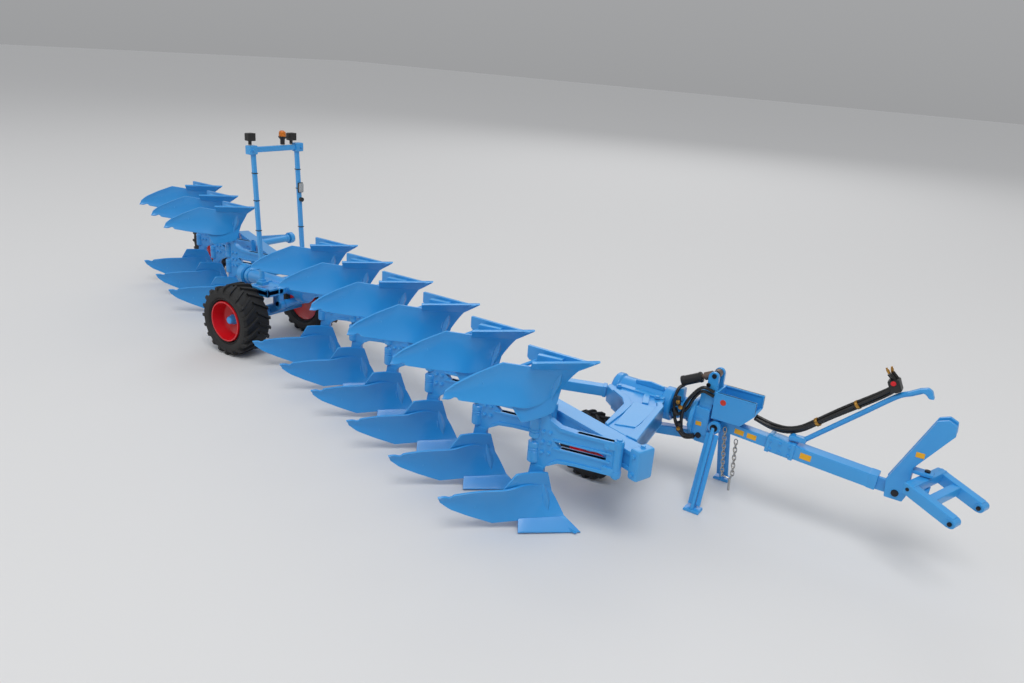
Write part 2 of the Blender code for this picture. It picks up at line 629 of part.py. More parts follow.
# --- headstock, drawbar and hitch ---------------------------------------------------------------
def drawbar_point(x):
    return Vector((x, AXIS_Y, 29.25 + (x - 34.0) * math.tan(math.radians(DRAWBAR_SLOPE))))


def headstock(parent):
    """Turnover head with its flange, drawbar, hose tray, hose arm and support wheel arm."""
    start_x = 7.0 + GAP
    axis = Vector((0, AXIS_Y, AXIS_Z))
    flange_x = 16.0
    part("headstock", "blue_enamel", parent,
         [rod(axis + Vector((start_x, 0, 0)), axis + Vector((flange_x + 4.0, 0, 0)), 4.6, 20),
          rod(axis + Vector((flange_x - 1.0, 0, -1.6)), axis + Vector((flange_x + 0.6, 0, -1.6)), FLANGE_RADIUS, 28),
          box((6.0, 9.0, 11.0), (flange_x + 3.0, AXIS_Y, AXIS_Z - 1.6)),
          box((5.0, 7.4, 8.0), (flange_x + 3.6, AXIS_Y, 38.0)),
          box((2.6, 1.4, 10.0), (flange_x + 5.0, AXIS_Y - 3.0, 44.6)),
          box((2.6, 1.4, 10.0), (flange_x + 5.0, AXIS_Y + 3.0, 44.6)),
          box((6.0, 9.0, 5.0), (flange_x + 4.0, AXIS_Y, 24.0)),
          box((2.4, 3.4, 5.0), (9.6, 54.0, 37.4)),
          bar((flange_x + 3.0, AXIS_Y, 23.0), (SUPPORT_WHEEL_X + 12.0, AXIS_Y - 2.0, 20.0), 4.0, 3.6),
          bar((SUPPORT_WHEEL_X + 15.0, AXIS_Y - 1.6, 20.3), (SUPPORT_WHEEL_X, AXIS_Y - 8.0, SUPPORT_WHEEL_RADIUS), 3.0, 4.6),
          rod((SUPPORT_WHEEL_X, AXIS_Y - 7.0, SUPPORT_WHEEL_RADIUS),
              (SUPPORT_WHEEL_X, SUPPORT_WHEEL_Y + SUPPORT_WHEEL_WIDTH / 2 * 0.5 + GAP, SUPPORT_WHEEL_RADIUS), 1.6, 12)])
    rear_start = drawbar_point(22.6)
    part("drawbar", "blue_enamel", parent,
         [bar(rear_start, drawbar_point(COLLAR_X + 1), DRAWBAR_REAR),
          rod((STAND_X, AXIS_Y - STAND_PIN_REACH, STAND_PIN_Z), (STAND_X, AXIS_Y + STAND_PIN_REACH, STAND_PIN_Z),
              STAND_PIN_RADIUS, 16),
          bar(drawbar_point(COLLAR_X), drawbar_point(COLLAR_X + COLLAR_LENGTH), DRAWBAR_COLLAR),
          bar(drawbar_point(COLLAR_X + COLLAR_LENGTH - 1), drawbar_point(HITCH_PIN_X - 6.0), DRAWBAR_FRONT),
          box((8.0, 1.6, 4.6), (HITCH_PIN_X - 3.5, AXIS_Y, HITCH_PIN_Z + 0.6)),
          rod((HITCH_PIN_X, AXIS_Y - 0.8, HITCH_PIN_Z), (HITCH_PIN_X, AXIS_Y + 0.8, HITCH_PIN_Z), 2.6, 16)])
    hose_tray(parent)
    arm_foot = Vector((52.0, AXIS_Y, drawbar_point(52.0).z + DRAWBAR_COLLAR / 2 + GAP + 0.9))
    knee = Vector((55.0, AXIS_Y, arm_foot.z + 0.4))
    arm_end = Vector((80.0, AXIS_Y, 57.0))
    hook_top = Vector((88.0, AXIS_Y, 61.6))
    part("hose_arm", "blue_enamel", parent,
         [bar(arm_foot - Vector((2.0, 0, 0)), knee + Vector((1.0, 0, 0)), 3.0, 1.8),
          rod(knee, arm_end + Vector((1, 0, 0.7)), 1.0, 10),
          rod(arm_end, hook_top, 1.0, 10),
          rod(hook_top - Vector((0.6, 0, 0.3)), hook_top + Vector((2.6, 0, -2.6)), 1.2, 10)])
    part("hose_bundle", "black_rubber", parent, [tube_along(smooth_route(HOSE_ROUTE, 3), 1.5)])


# Middle line of the bundle of hoses, from the tray along the arm, turned up at its end.
HOSE_ROUTE = [(37.8, 57.2, 35.0), (40.5, 57.2, 34.7), (44.0, 57.2, 34.5), (48.5, 57.2, 35.0), (53.0, 57.0, 38.2),
              (57.5, 56.8, 42.0), (63.0, 56.0, 46.9), (69.0, 56.0, 51.7), (75.0, 56.0, 56.2), (77.4, 56.0, 59.0),
              (77.0, 56.0, 62.0), (75.4, 56.0, 64.6)]


def hose_tray(parent):
    """Folded sheet tray on the headstock's front: two sides and a sloping front, open on top."""
    side_outline = [(22.8, 43.0), (38.0, 43.0), (38.0, 38.0), (33.6, 33.0), (22.8, 32.6)]
    solids = []
    for side in (1, -1):
        solids.append(plate(side_outline, 0.9, (0, AXIS_Y + side * 4.6, 0), (1, 0, 0), (0, 0, 1)))
    solids.append(box((10.6, 10.0, 0.9), (28.3, AXIS_Y, 33.1)))
    solids.append(box((0.9, 10.0, 10.0), (23.35, AXIS_Y, 37.9)))
    solids.append(bar((33.4, AXIS_Y, 33.2), (37.7, AXIS_Y, 38.1), 10.0, 0.9))
    part("hose_tray", "blue_enamel", parent, [solids[0], solids[2], solids[1], solids[3], solids[4]])


def parking_stand(parent):
    """Two splayed legs with feet, one on each end of the drawbar's pin."""
    hip_reach = STAND_PIN_REACH + GAP + STAND_LEG / 2
    for label, side in (("right", -1), ("left", 1)):
        hip = Vector((STAND_X, AXIS_Y + side * hip_reach, STAND_PIN_Z))
        foot = Vector((STAND_X + 0.1, AXIS_Y + side * STAND_HALF_SPREAD, 0.6))
        half = Vector((0, STAND_LEG / 2, 0))
        part(f"parking_stand_leg_{label}", "blue_enamel", parent,
             [bar(hip, foot, 4.0, STAND_LEG), rod(hip - half, hip + half, 2.3, 18), box((6.0, 4.6, 1.2), foot)])


def hitch(pitch_parent, yaw_parent):
    """Yoke with its upright plate on the drawbar's pin, and the two-armed frame in front of it."""
    pin = Vector((HITCH_PIN_X, AXIS_Y, HITCH_PIN_Z))
    ear_y = 0.8 + GAP + 0.7
    upright = [(-3.0, -2.4), (2.6, -2.4), (3.4, 0.0), (3.4, 10.4), (12.6, 24.6), (12.2, 28.0), (9.6, 29.2),
               (6.6, 28.0), (-3.6, 4.0)]
    solids = []
    for side in (1, -1):
        solids.append(plate(upright, 1.4, pin + Vector((0, side * ear_y, 0)), (1, 0, 0), (0, 0, 1)))
    solids.append(bar(pin + Vector((2.2, 0, 9.0)), pin + Vector((9.4, 0, 25.0)), 3.6, 1.6))
    king = pin + Vector((KING_REACH, 0, KING_HEIGHT))
    lug_z = HITCH_BAR / 2 + GAP + LUG_THICKNESS / 2
    for side in (1, -1):
        solids.append(box((8.4, 3.6, LUG_THICKNESS), king + Vector((-2.2, 0, side * lug_z))))
    part("hitch_yoke", "blue_enamel", pitch_parent, [solids[0], solids[2], solids[1], *solids[3:]])
    heading = Vector((math.cos(math.radians(HITCH_YAW)), math.sin(math.radians(HITCH_YAW)), 0))
    side_way = Vector((-heading.y, heading.x, 0))
    half = HITCH_SPACING / 2
    solids = [bar(king - side_way * (half + 1.5), king + side_way * (half + 1.5), HITCH_BAR, HITCH_BAR)]
    drop = Vector((0, 0, -HITCH_DROP))
    for side in (1, -1):
        start = king + side_way * side * half - heading
        end = start + heading * HITCH_ARM + drop
        solids.append(bar(start, end, HITCH_BAR, 4.0))
        solids.append(rod(end - side_way * 2.6, end + side_way * 2.6, 1.6, 12))
    front = king + heading * HITCH_CROSS + drop * (HITCH_CROSS + 1.0) / HITCH_ARM
    solids.append(bar(front - side_way * half, front + side_way * half, 3.0, 3.0))
    part("hitch_frame", "blue_enamel", yaw_parent, solids)


CYLINDER_BASE = Vector((9.0, 53.6, 42.4))
CYLINDER_EYE = Vector((21.2, AXIS_Y, 48.2))
BARREL_BORE = 1.25


def turnover_cylinder(parent):
    """Cylinder from the lug behind the headstock's block up to its two ears."""
    run = (CYLINDER_EYE - CYLINDER_BASE).normalized()
    part("turnover_barrel", "black_plastic", parent,
         [rod(CYLINDER_BASE, CYLINDER_BASE + run * 8.0, 2.0, 16)],
         cuts=[rod(CYLINDER_BASE + run * 2.0, CYLINDER_BASE + run * 10.0, BARREL_BORE, 16)])
    part("turnover_rod", "steel", parent,
         [rod(CYLINDER_BASE + run * 4.0, CYLINDER_EYE, BARREL_BORE - GAP, 12),
          rod(CYLINDER_EYE - Vector((0, 1.4, 0)), CYLINDER_EYE + Vector((0, 1.4, 0)), 1.5, 14)])


# --- assembly -----------------------------------------------------------------------------------
def recentre(root):
    """Move everything so that the middle of the base of its box is the origin."""
    bpy.context.view_layer.update()
    corners = [thing.matrix_world @ vert.co for thing in PARTS.objects if thing.type == "MESH"
               for vert in thing.data.vertices]
    low = Vector([min(corner[axis] for corner in corners) for axis in range(3)])
    high = Vector([max(corner[axis] for corner in corners) for axis in range(3)])
    root.location -= Vector(((low.x + high.x) / 2, (low.y + high.y) / 2, low.z))
    bpy.context.view_layer.update()


def main():
    clear_scene()
    root = pivot("plough_root", (0, 0, 0))
    headstock(root)
    turnover = pivot("turnover_axis", (HEADSTOCK_X, AXIS_Y, AXIS_Z), root)
    front_section(turnover)
    turnover_cylinder(root)
    carriage_turn = pivot("carriage_bearing", (FRONT_BEARING_X, AXIS_Y, AXIS_Z), turnover)
    carriage(carriage_turn)
    lift = pivot("carriage_lift_pivot", (LIFT_PIVOT_X, AXIS_Y, LIFT_PIVOT_Z), carriage_turn)
    carriage_axle(lift)
    hub_y = WHEEL_INNER_Y + WHEEL_WIDTH / 2
    for label, side in (("right", -1), ("left", 1)):
        centre = (WHEEL_X, AXIS_Y + side * hub_y, WHEEL_RADIUS)
        hub = pivot(f"wheel_{label}_hub", centre, lift)
        tyre(f"wheel_{label}_tyre", centre, WHEEL_RADIUS, RIM_RADIUS, WHEEL_WIDTH, hub)
        rim(f"wheel_{label}_rim", centre, RIM_RADIUS, WHEEL_WIDTH, side, hub)
    rear_turn = pivot("rear_bearing", (REAR_BEARING_X, AXIS_Y, AXIS_Z), carriage_turn)
    rear_section(rear_turn)
    arm_pin = pivot("rear_wheel_arm_pin", (REAR_ARM_PIVOT_X, REAR_WHEEL_Y, AXIS_Z), rear_turn)
    rear_wheel_arm(arm_pin)
    centre = (REAR_WHEEL_X, REAR_WHEEL_Y, REAR_WHEEL_RADIUS)
    hub = pivot("rear_wheel_hub", centre, arm_pin)
    tyre("rear_wheel_tyre", centre, REAR_WHEEL_RADIUS, RIM_RADIUS, REAR_WHEEL_WIDTH, hub)
    rim("rear_wheel_rim", centre, RIM_RADIUS, REAR_WHEEL_WIDTH, -1, hub)
    centre = (SUPPORT_WHEEL_X, SUPPORT_WHEEL_Y, SUPPORT_WHEEL_RADIUS)
    hub = pivot("support_wheel_hub", centre, root)
    tyre("support_wheel_tyre", centre, SUPPORT_WHEEL_RADIUS, SUPPORT_WHEEL_RADIUS * 0.6, SUPPORT_WHEEL_WIDTH, hub)
    rim("support_wheel_rim", centre, SUPPORT_WHEEL_RADIUS * 0.6, SUPPORT_WHEEL_WIDTH, -1, hub)
    stand_pin = pivot("stand_pin", (STAND_X, AXIS_Y, STAND_PIN_Z), root)
    parking_stand(stand_pin)
    hitch_pin = pivot("hitch_pin", (HITCH_PIN_X, AXIS_Y, HITCH_PIN_Z), root)
    king_pin = pivot("hitch_king_pin", (HITCH_PIN_X + KING_REACH, AXIS_Y, HITCH_PIN_Z + KING_HEIGHT), hitch_pin)
    hitch(hitch_pin, king_pin)
    recentre(root)


main()
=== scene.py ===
"""Looks of a 1:32 model of a semi-mounted reversible moldboard plough.

Every shape is written in millimetres of the model, in the maker's own frame: x forward, y to the left, z up,
from the point of the first share on the ground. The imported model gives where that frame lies, so each piece
lands on the solid that it dresses.
"""

from __future__ import annotations

import json
import logging
import math
from dataclasses import dataclass, field
from enum import Enum
from typing import Iterable, Sequence

import bmesh
import bpy
from mathutils import Matrix, Vector

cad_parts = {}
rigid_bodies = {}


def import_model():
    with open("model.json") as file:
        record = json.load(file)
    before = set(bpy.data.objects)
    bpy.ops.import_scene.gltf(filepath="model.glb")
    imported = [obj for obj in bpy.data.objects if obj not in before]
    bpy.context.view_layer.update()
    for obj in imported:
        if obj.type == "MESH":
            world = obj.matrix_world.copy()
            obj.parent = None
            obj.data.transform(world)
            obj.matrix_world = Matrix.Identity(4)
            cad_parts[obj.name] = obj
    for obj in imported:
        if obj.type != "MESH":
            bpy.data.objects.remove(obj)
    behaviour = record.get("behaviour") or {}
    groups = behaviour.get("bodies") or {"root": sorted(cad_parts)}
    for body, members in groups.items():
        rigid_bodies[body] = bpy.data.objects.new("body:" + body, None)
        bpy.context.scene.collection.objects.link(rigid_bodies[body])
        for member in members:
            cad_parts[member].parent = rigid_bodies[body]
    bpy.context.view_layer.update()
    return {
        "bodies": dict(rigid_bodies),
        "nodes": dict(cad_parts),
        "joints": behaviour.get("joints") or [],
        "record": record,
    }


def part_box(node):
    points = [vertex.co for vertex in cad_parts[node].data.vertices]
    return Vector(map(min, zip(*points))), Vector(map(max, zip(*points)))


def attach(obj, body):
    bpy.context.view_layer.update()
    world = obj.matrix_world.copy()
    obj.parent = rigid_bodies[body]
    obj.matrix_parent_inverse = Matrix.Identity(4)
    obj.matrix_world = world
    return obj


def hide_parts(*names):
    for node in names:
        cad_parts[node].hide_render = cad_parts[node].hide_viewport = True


LOG = logging.getLogger("plough")
MM = 0.001

# Driving sizes, the same as the solids underneath.
PITCH_X = 31.25                     # one pair of bottoms to the next, back
FRONT_PITCH_Y = 10.67               # and to the left, on the front beam
REAR_PITCH_Y = 13.0                 # and on the rear beam
SECTION_GAP = (65.7, 10.7)
FRONT_PAIRS, REAR_PAIRS = 6, 3
AXIS_Y, AXIS_Z = 56.0, 31.4         # turnover axis
PIVOT_X, PIVOT_Y = 16.2, 2.6
BEAM_SIZE = 7.0
BEAM_OFFSET = 2.6                   # beam's middle beyond the line of the bracket pivots
GAP = 0.35                          # clearance between pieces that touch
BRACKET_ANGLE = 11.1                # degrees between a bracket and the direction of travel
BOSS_RADIUS = 1.8
EDGE = 0.25                         # usual rounding of a cast edge
TURNOVER_PLACE = Vector((13.0, AXIS_Y, AXIS_Z))

Point = Sequence[float]


class Slot(Enum):
    """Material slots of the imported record."""

    BLUE = "blue_enamel"
    RED = "red_enamel"
    TYRE = "tyre_rubber"
    HOSE = "hose_rubber"
    BLACK = "black_plastic"
    AMBER = "amber_plastic"
    STEEL = "pin_steel"


# --- finishes -----------------------------------------------------------------------------------
def linear(colour: str) -> tuple[float, float, float, float]:
    """Turn an sRGB hex colour into linear values.

    Args:
        colour: six hex digits.

    Returns:
        Red, green, blue and an alpha of one.
    """
    values = [int(colour[at:at + 2], 16) / 255 for at in (0, 2, 4)]
    return (*[v / 12.92 if v <= 0.04045 else ((v + 0.055) / 1.055) ** 2.4 for v in values], 1.0)


def add_node(tree: bpy.types.NodeTree, kind: str, settings: dict | None = None,
             links: dict | None = None) -> bpy.types.Node:
    """Add one node with its settings and links.

    Args:
        tree: the material's node tree.
        kind: the node's type name.
        settings: property or input names, or input numbers, with their values.
        links: input names or numbers, each with the output that feeds it.

    Returns:
        The new node.
    """
    node = tree.nodes.new(kind)
    for name, value in (settings or {}).items():
        if isinstance(name, str) and hasattr(node, name):
            setattr(node, name, value)
        else:
            node.inputs[name].default_value = value
    for name, source in (links or {}).items():
        tree.links.new(source, node.inputs[name])
    return node


@dataclass(frozen=True)
class Finish:
    """One real surface: what it is made of and how it was made.

    The colour drifts between two close tones over patches, and a fine grain lifts the surface and
    changes its gloss a little. Sizes are millimetres on the model.
    """

    name: str
    colour: str
    other_colour: str
    roughness: float
    metallic: float = 0.0
    ior: float = 1.5
    patch_mm: float = 14.0
    grain_mm: float = 0.5
    relief_mm: float = 0.01
    gloss_drift: float = 0.06
    coat: float = 0.0
    coat_roughness: float = 0.1
    transmission: float = 0.0
    # Paler colour for the raised edges: edge wear together with a painted highlight.
    edge_wear_highlight: str = ""

    def material(self) -> bpy.types.Material:
        """Build the node material, or return it if it exists.

        Returns:
            The material.
        """
        known = bpy.data.materials.get(self.name)
        if known:
            return known
        material = bpy.data.materials.new(self.name)
        material.use_nodes = True
        tree = material.node_tree
        shader = tree.nodes["Principled BSDF"]
        place = add_node(tree, "ShaderNodeTexCoord").outputs["Object"]
        patches = add_node(tree, "ShaderNodeTexNoise",
                           {"Scale": 1 / (self.patch_mm * MM), "Detail": 3.0, "Roughness": 0.6}, {"Vector": place})
        grain = add_node(tree, "ShaderNodeTexNoise",
                         {"Scale": 1 / (self.grain_mm * MM), "Detail": 2.0, "Roughness": 0.5}, {"Vector": place})
        tone = add_node(tree, "ShaderNodeMix",
                        {"data_type": "RGBA", 6: linear(self.colour), 7: linear(self.other_colour)},
                        {0: patches.outputs["Fac"]})
        colour = tone.outputs[2]
        # Paler raised edges: edge wear with a painted highlight on top.
        if self.edge_wear_highlight:
            colour = self._edge_wear_highlight(tree, colour)
        gloss = add_node(tree, "ShaderNodeMapRange",
                         {"To Min": max(self.roughness - self.gloss_drift, 0.02),
                          "To Max": self.roughness + self.gloss_drift}, {"Value": patches.outputs["Fac"]})
        bump = add_node(tree, "ShaderNodeBump", {"Strength": 0.6, "Distance": self.relief_mm * MM},
                        {"Height": grain.outputs["Fac"]})
        tree.links.new(colour, shader.inputs["Base Color"])
        tree.links.new(gloss.outputs["Result"], shader.inputs["Roughness"])
        tree.links.new(bump.outputs["Normal"], shader.inputs["Normal"])
        shader.inputs["Metallic"].default_value = self.metallic
        if not self.metallic:
            shader.inputs["IOR"].default_value = self.ior
        shader.inputs["Coat Weight"].default_value = self.coat
        shader.inputs["Coat Roughness"].default_value = self.coat_roughness
        shader.inputs["Transmission Weight"].default_value = self.transmission
        return material

    def _edge_wear_highlight(self, tree: bpy.types.NodeTree, colour: bpy.types.NodeSocket) -> bpy.types.NodeSocket:
        """Lighten the raised edges: partly wear where the sprayed coat pulls thin, partly a painted highlight along
        them.

        Args:
            tree: the material's node tree.
            colour: the colour away from the edges.

        Returns:
            The mixed colour.
        """
        # Pointiness mask for the pale edges, which paints a highlight as well as wear.
        point = add_node(tree, "ShaderNodeNewGeometry").outputs["Pointiness"]
        edge = add_node(tree, "ShaderNodeMapRange", {"From Min": 0.53, "From Max": 0.62, "To Max": 0.5},
                        {"Value": point})
        mix = add_node(tree, "ShaderNodeMix", {"data_type": "RGBA", 7: linear(self.edge_wear_highlight)},
                       {0: edge.outputs["Result"], 6: colour})
        return mix.outputs[2]


# Enamel sprayed over die-cast zinc: glossy, with a faint orange peel, and paler on the edges, where it thins and where
# a highlight is painted.
BLUE_ENAMEL = Finish("sprayed_sky_blue_enamel", "2490DA", "2E98DF", 0.34, coat=0.35, coat_roughness=0.16,
                     grain_mm=0.7, relief_mm=0.012, edge_wear_highlight="58B4EC")
# The same spray in red, on the pressed wheel centres: satin.
RED_ENAMEL = Finish("sprayed_red_enamel", "D6121E", "C20E1A", 0.36, coat=0.2, grain_mm=0.6)
# Moulded rubber: matt black that greys a little on the tread.
TYRE_RUBBER = Finish("moulded_tyre_rubber", "0F0F10", "191919", 0.62, ior=1.52, patch_mm=6.0, grain_mm=0.35,
                     relief_mm=0.03, gloss_drift=0.1)
# Extruded soft PVC: black and fairly glossy, with long clear highlights.
HOSE_PVC = Finish("extruded_black_pvc", "0B0B0C", "141414", 0.28, ior=1.53, patch_mm=5.0, grain_mm=0.4,
                  relief_mm=0.006)
# Injection-moulded ABS: black, a fine satin from the tool.
BLACK_ABS = Finish("moulded_black_abs", "0E0E0F", "181818", 0.38, ior=1.54, patch_mm=5.0, grain_mm=0.3,
                   relief_mm=0.01)
# Turned brass: warm and bright, slightly dulled by handling.
BRASS = Finish("turned_brass", "C99A4E", "A87A3A", 0.3, metallic=1.0, patch_mm=1.5, grain_mm=0.3)
# Nickel-plated steel wire: bright grey.
NICKEL = Finish("nickel_plated_wire", "C4C2BE", "9B9894", 0.25, metallic=1.0, patch_mm=1.5, grain_mm=0.3)
# Blackened steel pins: dark, with an oily gloss.
BLACK_STEEL = Finish("blackened_steel", "26262A", "38383C", 0.32, metallic=0.8, patch_mm=2.0, grain_mm=0.3)
# Tinned sleeve, brownish grey from its primer.
SLEEVE_TIN = Finish("tinned_sleeve", "7F6F66", "6B5D55", 0.42, metallic=0.7, patch_mm=3.0, grain_mm=0.3)
# Printed vinyl label, left blank: flat bright yellow.
YELLOW_VINYL = Finish("blank_yellow_vinyl", "F0B31C", "E6A414", 0.45, patch_mm=4.0, grain_mm=0.5, relief_mm=0.004)
# Red vinyl dot.
RED_VINYL = Finish("blank_red_vinyl", "D23A22", "C8321C", 0.45, patch_mm=4.0, grain_mm=0.5, relief_mm=0.004)
# Clear polycarbonate tinted amber: lets some light through.
AMBER_LENS = Finish("amber_polycarbonate", "F08A12", "E87A08", 0.16, ior=1.58, transmission=0.35, patch_mm=3.0)
# Clear polycarbonate reflector.
CLEAR_LENS = Finish("clear_polycarbonate", "D8DCDC", "C6CACC", 0.12, ior=1.58, transmission=0.4, patch_mm=3.0)


# --- mesh kit -----------------------------------------------------------------------------------
class Workshop:
    """Turns shapes into pieces in the model's place, on the right body and with the right finish."""

    def __init__(self, frame: dict) -> None:
        """Find the maker's frame from the turnover joint."""
        joint = next(j for j in frame["joints"] if j["name"] == "turnover")
        self.origin = Vector(joint["pos_m"]) - TURNOVER_PLACE * MM
        self.count = 0

    def deliver(self, shape: "Shape", name: str, finish: Finish, body: str,
                replaces: Iterable[str] = (), smooth_angle: float = 32.0) -> bpy.types.Object:
        """Make an object of a shape and hand it to its body.

        Args:
            shape: the finished shape, in millimetres.
            name: the piece's name.
            finish: its surface.
            body: the moving body that it rides on.
            replaces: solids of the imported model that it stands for.
            smooth_angle: edges above this angle, in degrees, stay crisp.

        Returns:
            The new object.
        """
        mesh = bpy.data.meshes.new(name)
        bmesh.ops.transform(shape.bm, verts=shape.bm.verts,
                            matrix=Matrix.Translation(self.origin) @ Matrix.Scale(MM, 4))
        shape.bm.to_mesh(mesh)
        shape.bm.free()
        mesh.shade_smooth()
        mesh.set_sharp_from_angle(angle=math.radians(smooth_angle))
        mesh.materials.append(finish.material())
        piece = bpy.data.objects.new(name, mesh)
        bpy.context.scene.collection.objects.link(piece)
        even = piece.modifiers.new("Even shading", "WEIGHTED_NORMAL")
        even.keep_sharp = True
        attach(piece, body)
        if replaces:
            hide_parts(*replaces)
        self.count += 1
        LOG.info("%s: %d faces on %s", name, len(mesh.polygons), body)
        return piece


class Shape:
    """Closed solids gathered in one mesh, in millimetres of the model."""

    def __init__(self) -> None:
        """Start an empty shape."""
        self.bm = bmesh.new()

    def take(self, solid: bmesh.types.BMesh, bevel: float = EDGE, segments: int = 2) -> "Shape":
        """Round the sharp edges of a solid and add it.

        Args:
            solid: a closed mesh, which is freed.
            bevel: width of the rounding.
            segments: steps of the rounding.

        Returns:
            This shape.
        """
        bmesh.ops.recalc_face_normals(solid, faces=solid.faces)
        if bevel > 0:
            sharp = [e for e in solid.edges if e.is_manifold and e.calc_face_angle(0.0) > math.radians(35)]
            if sharp:
                bmesh.ops.bevel(solid, geom=sharp, offset=bevel, segments=segments, profile=0.5,
                                affect="EDGES", clamp_overlap=True)
        mesh = bpy.data.meshes.new("solid")
        solid.to_mesh(mesh)
        solid.free()
        self.bm.from_mesh(mesh)
        bpy.data.meshes.remove(mesh)
        return self

    def box(self, size: Point, centre: Point, yaw: float = 0.0, pitch: float = 0.0, roll: float = 0.0,
            bevel: float = EDGE) -> "Shape":
        """Add a box by its full sizes, its middle and its turns in degrees."""
        solid = bmesh.new()
        bmesh.ops.create_cube(solid, size=1.0, matrix=Matrix.Diagonal((*size, 1)))
        turn = (Matrix.Rotation(math.radians(yaw), 4, "Z") @ Matrix.Rotation(math.radians(pitch), 4, "Y")
                @ Matrix.Rotation(math.radians(roll), 4, "X"))
        bmesh.ops.transform(solid, verts=solid.verts, matrix=Matrix.Translation(Vector(centre)) @ turn)
        return self.take(solid, min(bevel, min(size) * 0.3))

    def bar(self, start: Point, end: Point, width: float, height: float | None = None, bevel: float = EDGE,
            roll: float = 0.0) -> "Shape":
        """Add a rectangular bar between two points: width is level, height stands across it."""
        start, end = Vector(start), Vector(end)
        run = end - start
        yaw = math.degrees(math.atan2(run.y, run.x))
        pitch = -math.degrees(math.atan2(run.z, math.hypot(run.x, run.y)))
        return self.box((run.length, width, height or width), (start + end) / 2, yaw, pitch, roll, bevel)

    def rod(self, start: Point, end: Point, radius: float, end_radius: float | None = None, sides: int = 24,
            bevel: float = 0.15) -> "Shape":
        """Add a round bar, or a cone, between two points."""
        start, end = Vector(start), Vector(end)
        run = end - start
        solid = bmesh.new()
        bmesh.ops.create_cone(solid, cap_ends=True, segments=sides, radius1=radius,
                              radius2=radius if end_radius is None else end_radius, depth=run.length)
        turn = run.to_track_quat("Z", "Y").to_matrix().to_4x4()
        bmesh.ops.transform(solid, verts=solid.verts, matrix=Matrix.Translation((start + end) / 2) @ turn)
        return self.take(solid, min(bevel, radius * 0.3, run.length * 0.3))

    def bolt(self, foot: Point, way: Point, size: float = 1.1, shank: float = 0.0) -> "Shape":
        """Add a washer with a six-sided head, or a nut with the end of its shank.

        Args:
            foot: where the washer sits.
            way: the direction it points.
            size: width of the head.
            shank: how far a shank shows beyond the head.

        Returns:
            This shape.
        """
        foot, way = Vector(foot), Vector(way).normalized()
        sunk = foot - way * size * 0.2
        self.rod(sunk, foot + way * size * 0.15, size * 0.72, sides=16, bevel=0.05)
        self.rod(foot, foot + way * size * 0.55, size * 0.55, sides=6, bevel=0.08)
        if shank:
            self.rod(foot, foot + way * (size * 0.55 + shank), size * 0.28, sides=10, bevel=0.05)
        return self

    def lathe(self, profile: Sequence[Point], centre: Point, axis: Point, sides: int = 48,
              bevel: float = 0.0) -> "Shape":
        """Add a turned solid.

        Args:
            profile: pairs of radius and place along the axis, from the axis back to it, or a closed ring.
            centre: where place zero lies.
            axis: direction of the axis.
            sides: steps around.
            bevel: rounding of its corners.

        Returns:
            This shape.
        """
        solid = bmesh.new()
        verts = [solid.verts.new((radius, 0, place)) for radius, place in profile]
        for a, b in zip(verts, verts[1:]):
            if (a.co - b.co).length > 1e-6:
                solid.edges.new((a, b))
        if profile[0] == profile[-1]:
            bmesh.ops.remove_doubles(solid, verts=solid.verts, dist=1e-5)
        bmesh.ops.spin(solid, geom=list(solid.verts) + list(solid.edges), cent=(0, 0, 0), axis=(0, 0, 1),
                       angle=math.tau, steps=sides, use_duplicate=False)
        bmesh.ops.remove_doubles(solid, verts=solid.verts, dist=1e-4)
        turn = Vector(axis).to_track_quat("Z", "Y").to_matrix().to_4x4()
        bmesh.ops.transform(solid, verts=solid.verts, matrix=Matrix.Translation(Vector(centre)) @ turn)
        return self.take(solid, bevel)

    def plate(self, outline: Sequence[Point], thickness: float, origin: Point, across: Point, up: Point,
              holes: Iterable[Sequence[Point]] = (), bevel: float = EDGE) -> "Shape":
        """Add a flat plate, thickness equally to both sides of the plane of across and up.

        Args:
            outline: corners in the plate's plane.
            thickness: of the plate.
            origin: the plane's zero point.
            across: first direction of the plane.
            up: second direction.
            holes: outlines cut through it.
            bevel: rounding of its edges.

        Returns:
            This shape.
        """
        solid = bmesh.new()
        rims = []
        for points in (outline, *holes):
            verts = [solid.verts.new((a, b, -thickness / 2)) for a, b in points]
            rims += [solid.edges.new((a, b)) for a, b in zip(verts, verts[1:] + verts[:1])]
        bmesh.ops.triangle_fill(solid, edges=rims, use_beauty=True)
        cap = bmesh.ops.extrude_face_region(solid, geom=list(solid.faces))
        bmesh.ops.translate(solid, verts=[g for g in cap["geom"] if isinstance(g, bmesh.types.BMVert)],
                            vec=(0, 0, thickness))
        bmesh.ops.dissolve_limit(solid, angle_limit=math.radians(0.5), verts=solid.verts, edges=solid.edges)
        across, up = Vector(across).normalized(), Vector(up).normalized()
        turn = Matrix((across, up, across.cross(up))).transposed().to_4x4()
        bmesh.ops.transform(solid, verts=solid.verts, matrix=Matrix.Translation(Vector(origin)) @ turn)
        return self.take(solid, min(bevel, thickness * 0.3))

